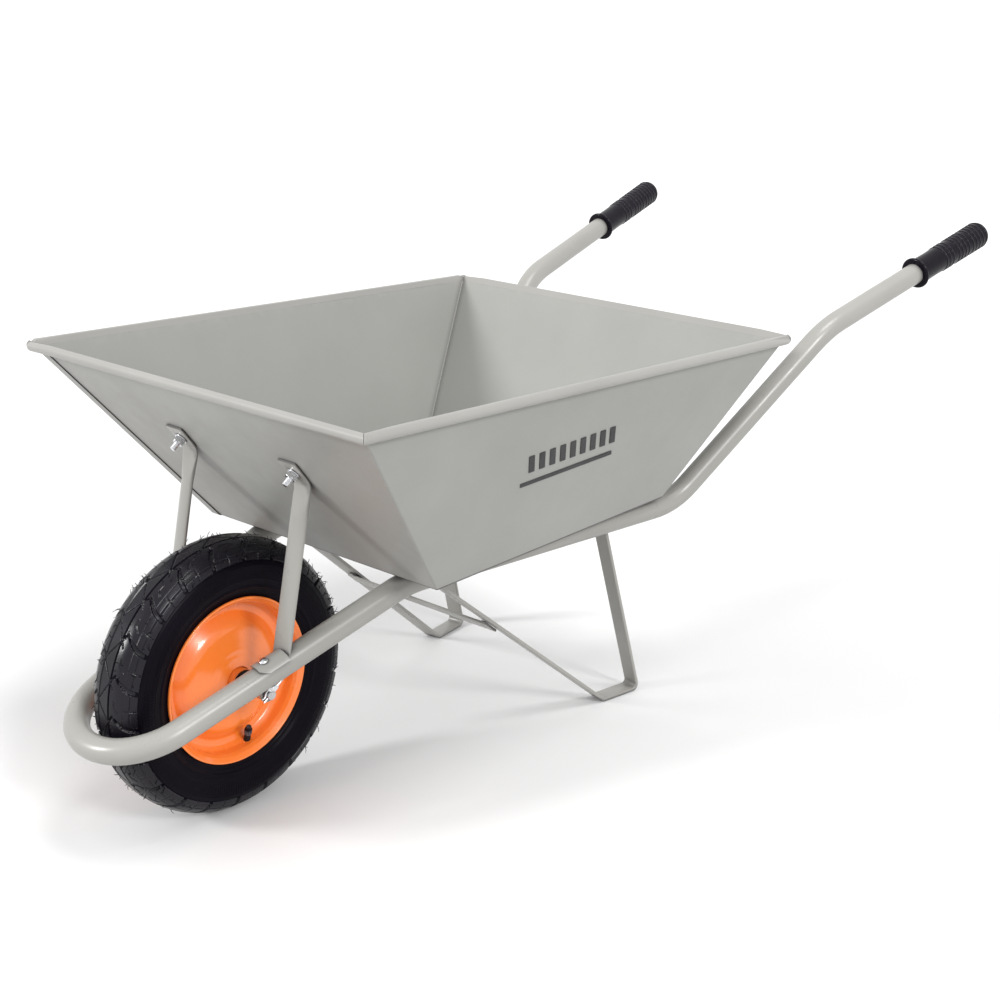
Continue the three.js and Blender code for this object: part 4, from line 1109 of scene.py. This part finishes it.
# ---------------------------------------------------------------- rim, hub and valve
def rim_half():
    """The pressed section: rolled flange, bead seat, well and a dished web with rings round the hub."""
    outside = mm(
        (105, 29.5), (108.3, 31), (108.2, 33.6), (106.2, 34.4), (101, 29), (98.6, 24), (97.6, 13),
        (92, 7.5), (84, 6.5), (79.5, 10.5), (68, 20.3), (52, 24),
    )
    inside = mm(
        (18, 31), (25, 29), (52, 19.8), (71, 15), (78.2, 8.9), (83, 4.2), (83, 0.2), (93, 0.2), (97, 6),
        (100.8, 12.5), (100.8, 26),
    )
    curve = rounded(list(outside), mm(1, 1.2, 1.2, 3, 5, 7, 5, 5, 4, 30), radians(3))
    radius = np.arange(51, 18, -0.75)
    rise = 24 + 9 * (1 - ((radius - 18) / 34) ** 1.25)
    ripples = 0.28 * np.exp(-((radius - 39) / 2.6) ** 2) + 0.3 * np.exp(-((radius - 30) / 2.2) ** 2)
    web = np.stack([radius, rise + ripples], -1) * MM
    return lathe(np.vstack([curve[:-1], web, inside]), 128, ring=True)


def valve_line():
    out = np.array([cos(VALVE_ANGLE), 0, sin(VALVE_ANGLE)])
    root = out * 118 * MM + [0, 5 * MM, AXLE[2]]
    tip = out * 78 * MM + [0, 24 * MM, AXLE[2]]
    return root, tip


def inner_tube():
    """The air tube with its rubber-covered valve stem."""
    turn = circle(1, 28)
    ring = lathe(mm(139, 0) + turn * mm(25, 23), 120, ring=True)
    root, tip = valve_line()
    length = np.linalg.norm(tip - root)
    outline = [*mm((6, 0), (5, 4), (4.6, 12), (4.6, 18), (5.2, 19), (5.2, 21), (4.4, 22.5)),
               (3.9 * MM, length - 6 * MM), (3.4 * MM, length - 5 * MM)]
    return [on_axle(ring), placed(lathe(outline, 32), root, tip - root)]


def valve_cap():
    """A knurled screw cap."""
    root, tip = valve_line()
    length = np.linalg.norm(tip - root)
    turn = np.arange(80) * 2 * pi / 80
    knurl = 0.28 * MM * (0.5 + 0.5 * np.cos(16 * turn))
    outline = mm((4.3, -8), (4.8, -7.6), (4.8, 0.5), (4.5, 1.2), (3.6, 2.0), (3.4, 5.6), (2.6, 6.4))
    rings = []
    for k, (radius, at) in enumerate(outline):
        r = radius + knurl * (k in (1, 2))
        rings.append(np.stack([r * np.cos(turn), r * np.sin(turn), np.full(80, length + at)], -1))
    return placed(loft(rings), root, tip - root)


def valve_lip():
    """The drawn edge of the valve's hole, standing up round the stem."""
    root, tip = valve_line()
    outline = mm((5.4, -2.0), (8.0, -2.0), (7.0, 1.2), (5.4, 1.9))
    lip = lathe(softened(outline, 0.5 * MM, ring=True), 40, ring=True)
    return placed(lip, root + unit(tip - root) * 22 * MM, tip - root)


def sleeve(outline, radius, sides, sign=1):
    """A turned ring on the axle, its outline's corners eased."""
    return on_axle(lathe(softened(outline, radius, ring=True), sides, ring=True), sign)


def build_wheel():
    build_tyre()
    for side, sign in SIDES.items():
        fine(f"rim_half_{side}", [on_axle(rim_half(), sign)], ORANGE_PAINT, "wheel", sharp=50)
        bore, head, end = AXLE_R + GAP, HUB_HALF + GAP, HUB_HALF + BUSH_HEAD
        bush = [(bore, BUSH_START), (BUSH_STEM_R, BUSH_START), (BUSH_STEM_R, head), (BUSH_R, head),
                (BUSH_R, end), (bore, end)]
        fine(f"hub_bush_{side}", [sleeve(bush, 0.5 * MM, 72, sign)], BLACK_PLASTIC, "wheel")
    hub = [(HUB_BORE_R, -HUB_HALF), (HUB_R, -HUB_HALF), (HUB_R, HUB_HALF), (HUB_BORE_R, HUB_HALF)]
    fine("hub_tube", [sleeve(hub, 0.6 * MM, 72)], ORANGE_PAINT, "wheel")
    fine("inner_tube", inner_tube(), TUBE_RUBBER, "wheel")
    fine("valve_cap", [valve_cap()], BLACK_PLASTIC, "wheel")
    piece("valve_lip", [valve_lip()], ORANGE_PAINT, "wheel")


# ---------------------------------------------------------------- axle
def bracket(sign):
    """A plate hanging from the tube, with a round foot about the axle, and its weld."""
    top = FRONT_BEND[2] + LOOP_SLOPE * -FRONT_BEND[0] - TUBE_R * 0.6
    half = BRACKET_HALF_WIDTH
    arc = [(half * cos(t), AXLE[2] + half * sin(t)) for t in np.linspace(pi, 2 * pi, 25)]
    outline = np.array([(half, top - 5 * MM), (-half, top + 5 * MM)] + arc)
    mid = outline.mean(0)
    rings = []
    for depth, shrink in ((0, 0.6), (0.6, 0), (3.4, 0), (4, 0.6)):
        scale = 1 - shrink * MM / half
        y = sign * (BRACKET_OUT_Y - BRACKET_THICK + depth * MM)
        flat = mid + (outline - mid) * scale
        rings.append(np.stack([flat[:, 0], np.full(len(flat), y), flat[:, 1]], -1))
    line = np.array([[half - 2 * MM, 0, top - 4 * MM], [-half + 2 * MM, 0, top + 6 * MM]])
    bead = weld(line + [0, sign * (BRACKET_OUT_Y + 1 * MM), -6 * MM], 2.2 * MM, 50 + sign)
    return [loft(rings), bead]


def hairpin(sign):
    """One leg straight through the axle, the other bowed round it."""
    slant = unit(CLIP_SLANT)
    across = np.array([slant[2], 0, -slant[0]])

    def at(s, t):
        return slant * s * MM + across * t * MM + [0, sign * CLIP_Y, AXLE[2]]

    eye = [at(27 + 3.6 * cos(t), 3.6 + 3.6 * sin(t)) for t in np.linspace(-1.2, 1.2, 12)]
    hug = [at(7.7 * cos(t), 7.7 * sin(t)) for t in np.radians(np.linspace(40, 142, 18))]
    leg = [at(-13, 0), at(25, 0)]
    bow = [at(25, 7), at(16, 4.6), at(9.4, 4.4)]
    tail = [at(-9, 4.2), at(-13, 6.5)]
    return swept(np.array(leg + eye + bow + hug + tail), circle(CLIP_WIRE_R, 16), ACROSS)


def build_axle():
    half, eased = AXLE_HALF - 1 * MM, AXLE_R - 1 * MM
    ends = [(eased, -AXLE_HALF), (AXLE_R, -half), (AXLE_R, half), (eased, AXLE_HALF)]
    fine("axle", [on_axle(lathe(ends, 48))], STEEL, sharp=25)
    for side, sign in SIDES.items():
        bore, end = AXLE_R + GAP, BRACKET_OUT_Y - BRACKET_THICK - GAP
        spacer = [(bore, SPACER_START), (SPACER_R, SPACER_START), (SPACER_R, end), (bore, end)]
        fine(f"axle_spacer_{side}", [sleeve(spacer, 0.5 * MM, 56, sign)], STEEL)
        fine(f"axle_bracket_{side}", bracket(sign), FRAME_PAINT)
        fine(f"axle_clip_{side}", [hairpin(sign)], ZINC)


# ---------------------------------------------------------------- stage
def aimed(thing, direction):
    thing.rotation_mode = "QUATERNION"
    thing.rotation_quaternion = Vector(direction).to_track_quat("-Z", "Y")


# Soft lamps: name, the direction the light comes from, strength, and how wide they look in degrees.
LAMPS = [
    ("key", unit([0.82, -0.50, 0.47]), 2.15, 11),
    ("fill", unit([0.13, 0.85, 0.55]), 1.5, 13),
    ("top", unit([-0.1, 0.35, 0.93]), 1.2, 20),
]
LAMP_HEIGHT = 3.0
SKY_STRENGTH = 1.08
FLOOR_HALF = 60.0
FLOOR_DROP = 0.4 * MM
CAMERA_FROM_AXLE = np.array([1.1957, 1.5377, 1.0688])
CAMERA_AZIMUTH = radians(42.115)
CAMERA_ELEVATION = radians(19.539)
CAMERA_LENS = 60.635
CAMERA_SHIFT = (0.00684, 0.01493)


def build_floor():
    ground = Graph("floor_paper")
    paper = ground.mix(ground.noise(3.0, 2.0), (0.61, 0.61, 0.61, 1), (0.64, 0.64, 0.64, 1))
    ground.set(Base_Color=paper, Roughness=0.9)
    mesh = bpy.data.meshes.new("floor")
    corners = [(x * FLOOR_HALF, y * FLOOR_HALF, 0) for x, y in ((-1, -1), (1, -1), (1, 1), (-1, 1))]
    mesh.from_pydata(corners, [], [(0, 1, 2, 3)])
    mesh.materials.append(ground.material)
    floor = linked("floor", mesh)
    floor.location.z = -FLOOR_DROP


def build_lights():
    world = bpy.data.worlds.new("studio")
    world.use_nodes = True
    sky = world.node_tree.nodes["Background"]
    sky.inputs["Color"].default_value = (1.0, 1.0, 1.0, 1)
    sky.inputs["Strength"].default_value = SKY_STRENGTH
    bpy.context.scene.world = world
    for name, source, energy, angle in LAMPS:
        lamp = bpy.data.lights.new(name, "SUN")
        lamp.energy = energy
        lamp.angle = radians(angle)
        hung = linked(name, lamp)
        hung.location = (0.0, 0.0, LAMP_HEIGHT)
        aimed(hung, -source)


def build_camera():
    data = bpy.data.cameras.new("camera")
    data.lens = CAMERA_LENS
    data.sensor_width = 36
    data.shift_x, data.shift_y = CAMERA_SHIFT
    data.clip_end = 200
    camera = linked("camera", data)
    camera.location = SHIFT + CAMERA_FROM_AXLE
    level = np.array([cos(CAMERA_AZIMUTH), sin(CAMERA_AZIMUTH), 0])
    backward = level * cos(CAMERA_ELEVATION) + UP * sin(CAMERA_ELEVATION)
    aimed(camera, -backward)
    bpy.context.scene.camera = camera
    bpy.context.scene.view_settings.view_transform = "Standard"


build_frame()
build_tray()
build_legs()
piece("leg_brace_fine", brace(), FRAME_PAINT, stands_for=["leg_cross_brace"])
build_fasteners()
build_struts()
build_wheel()
build_axle()
build_floor()
build_lights()
build_camera()
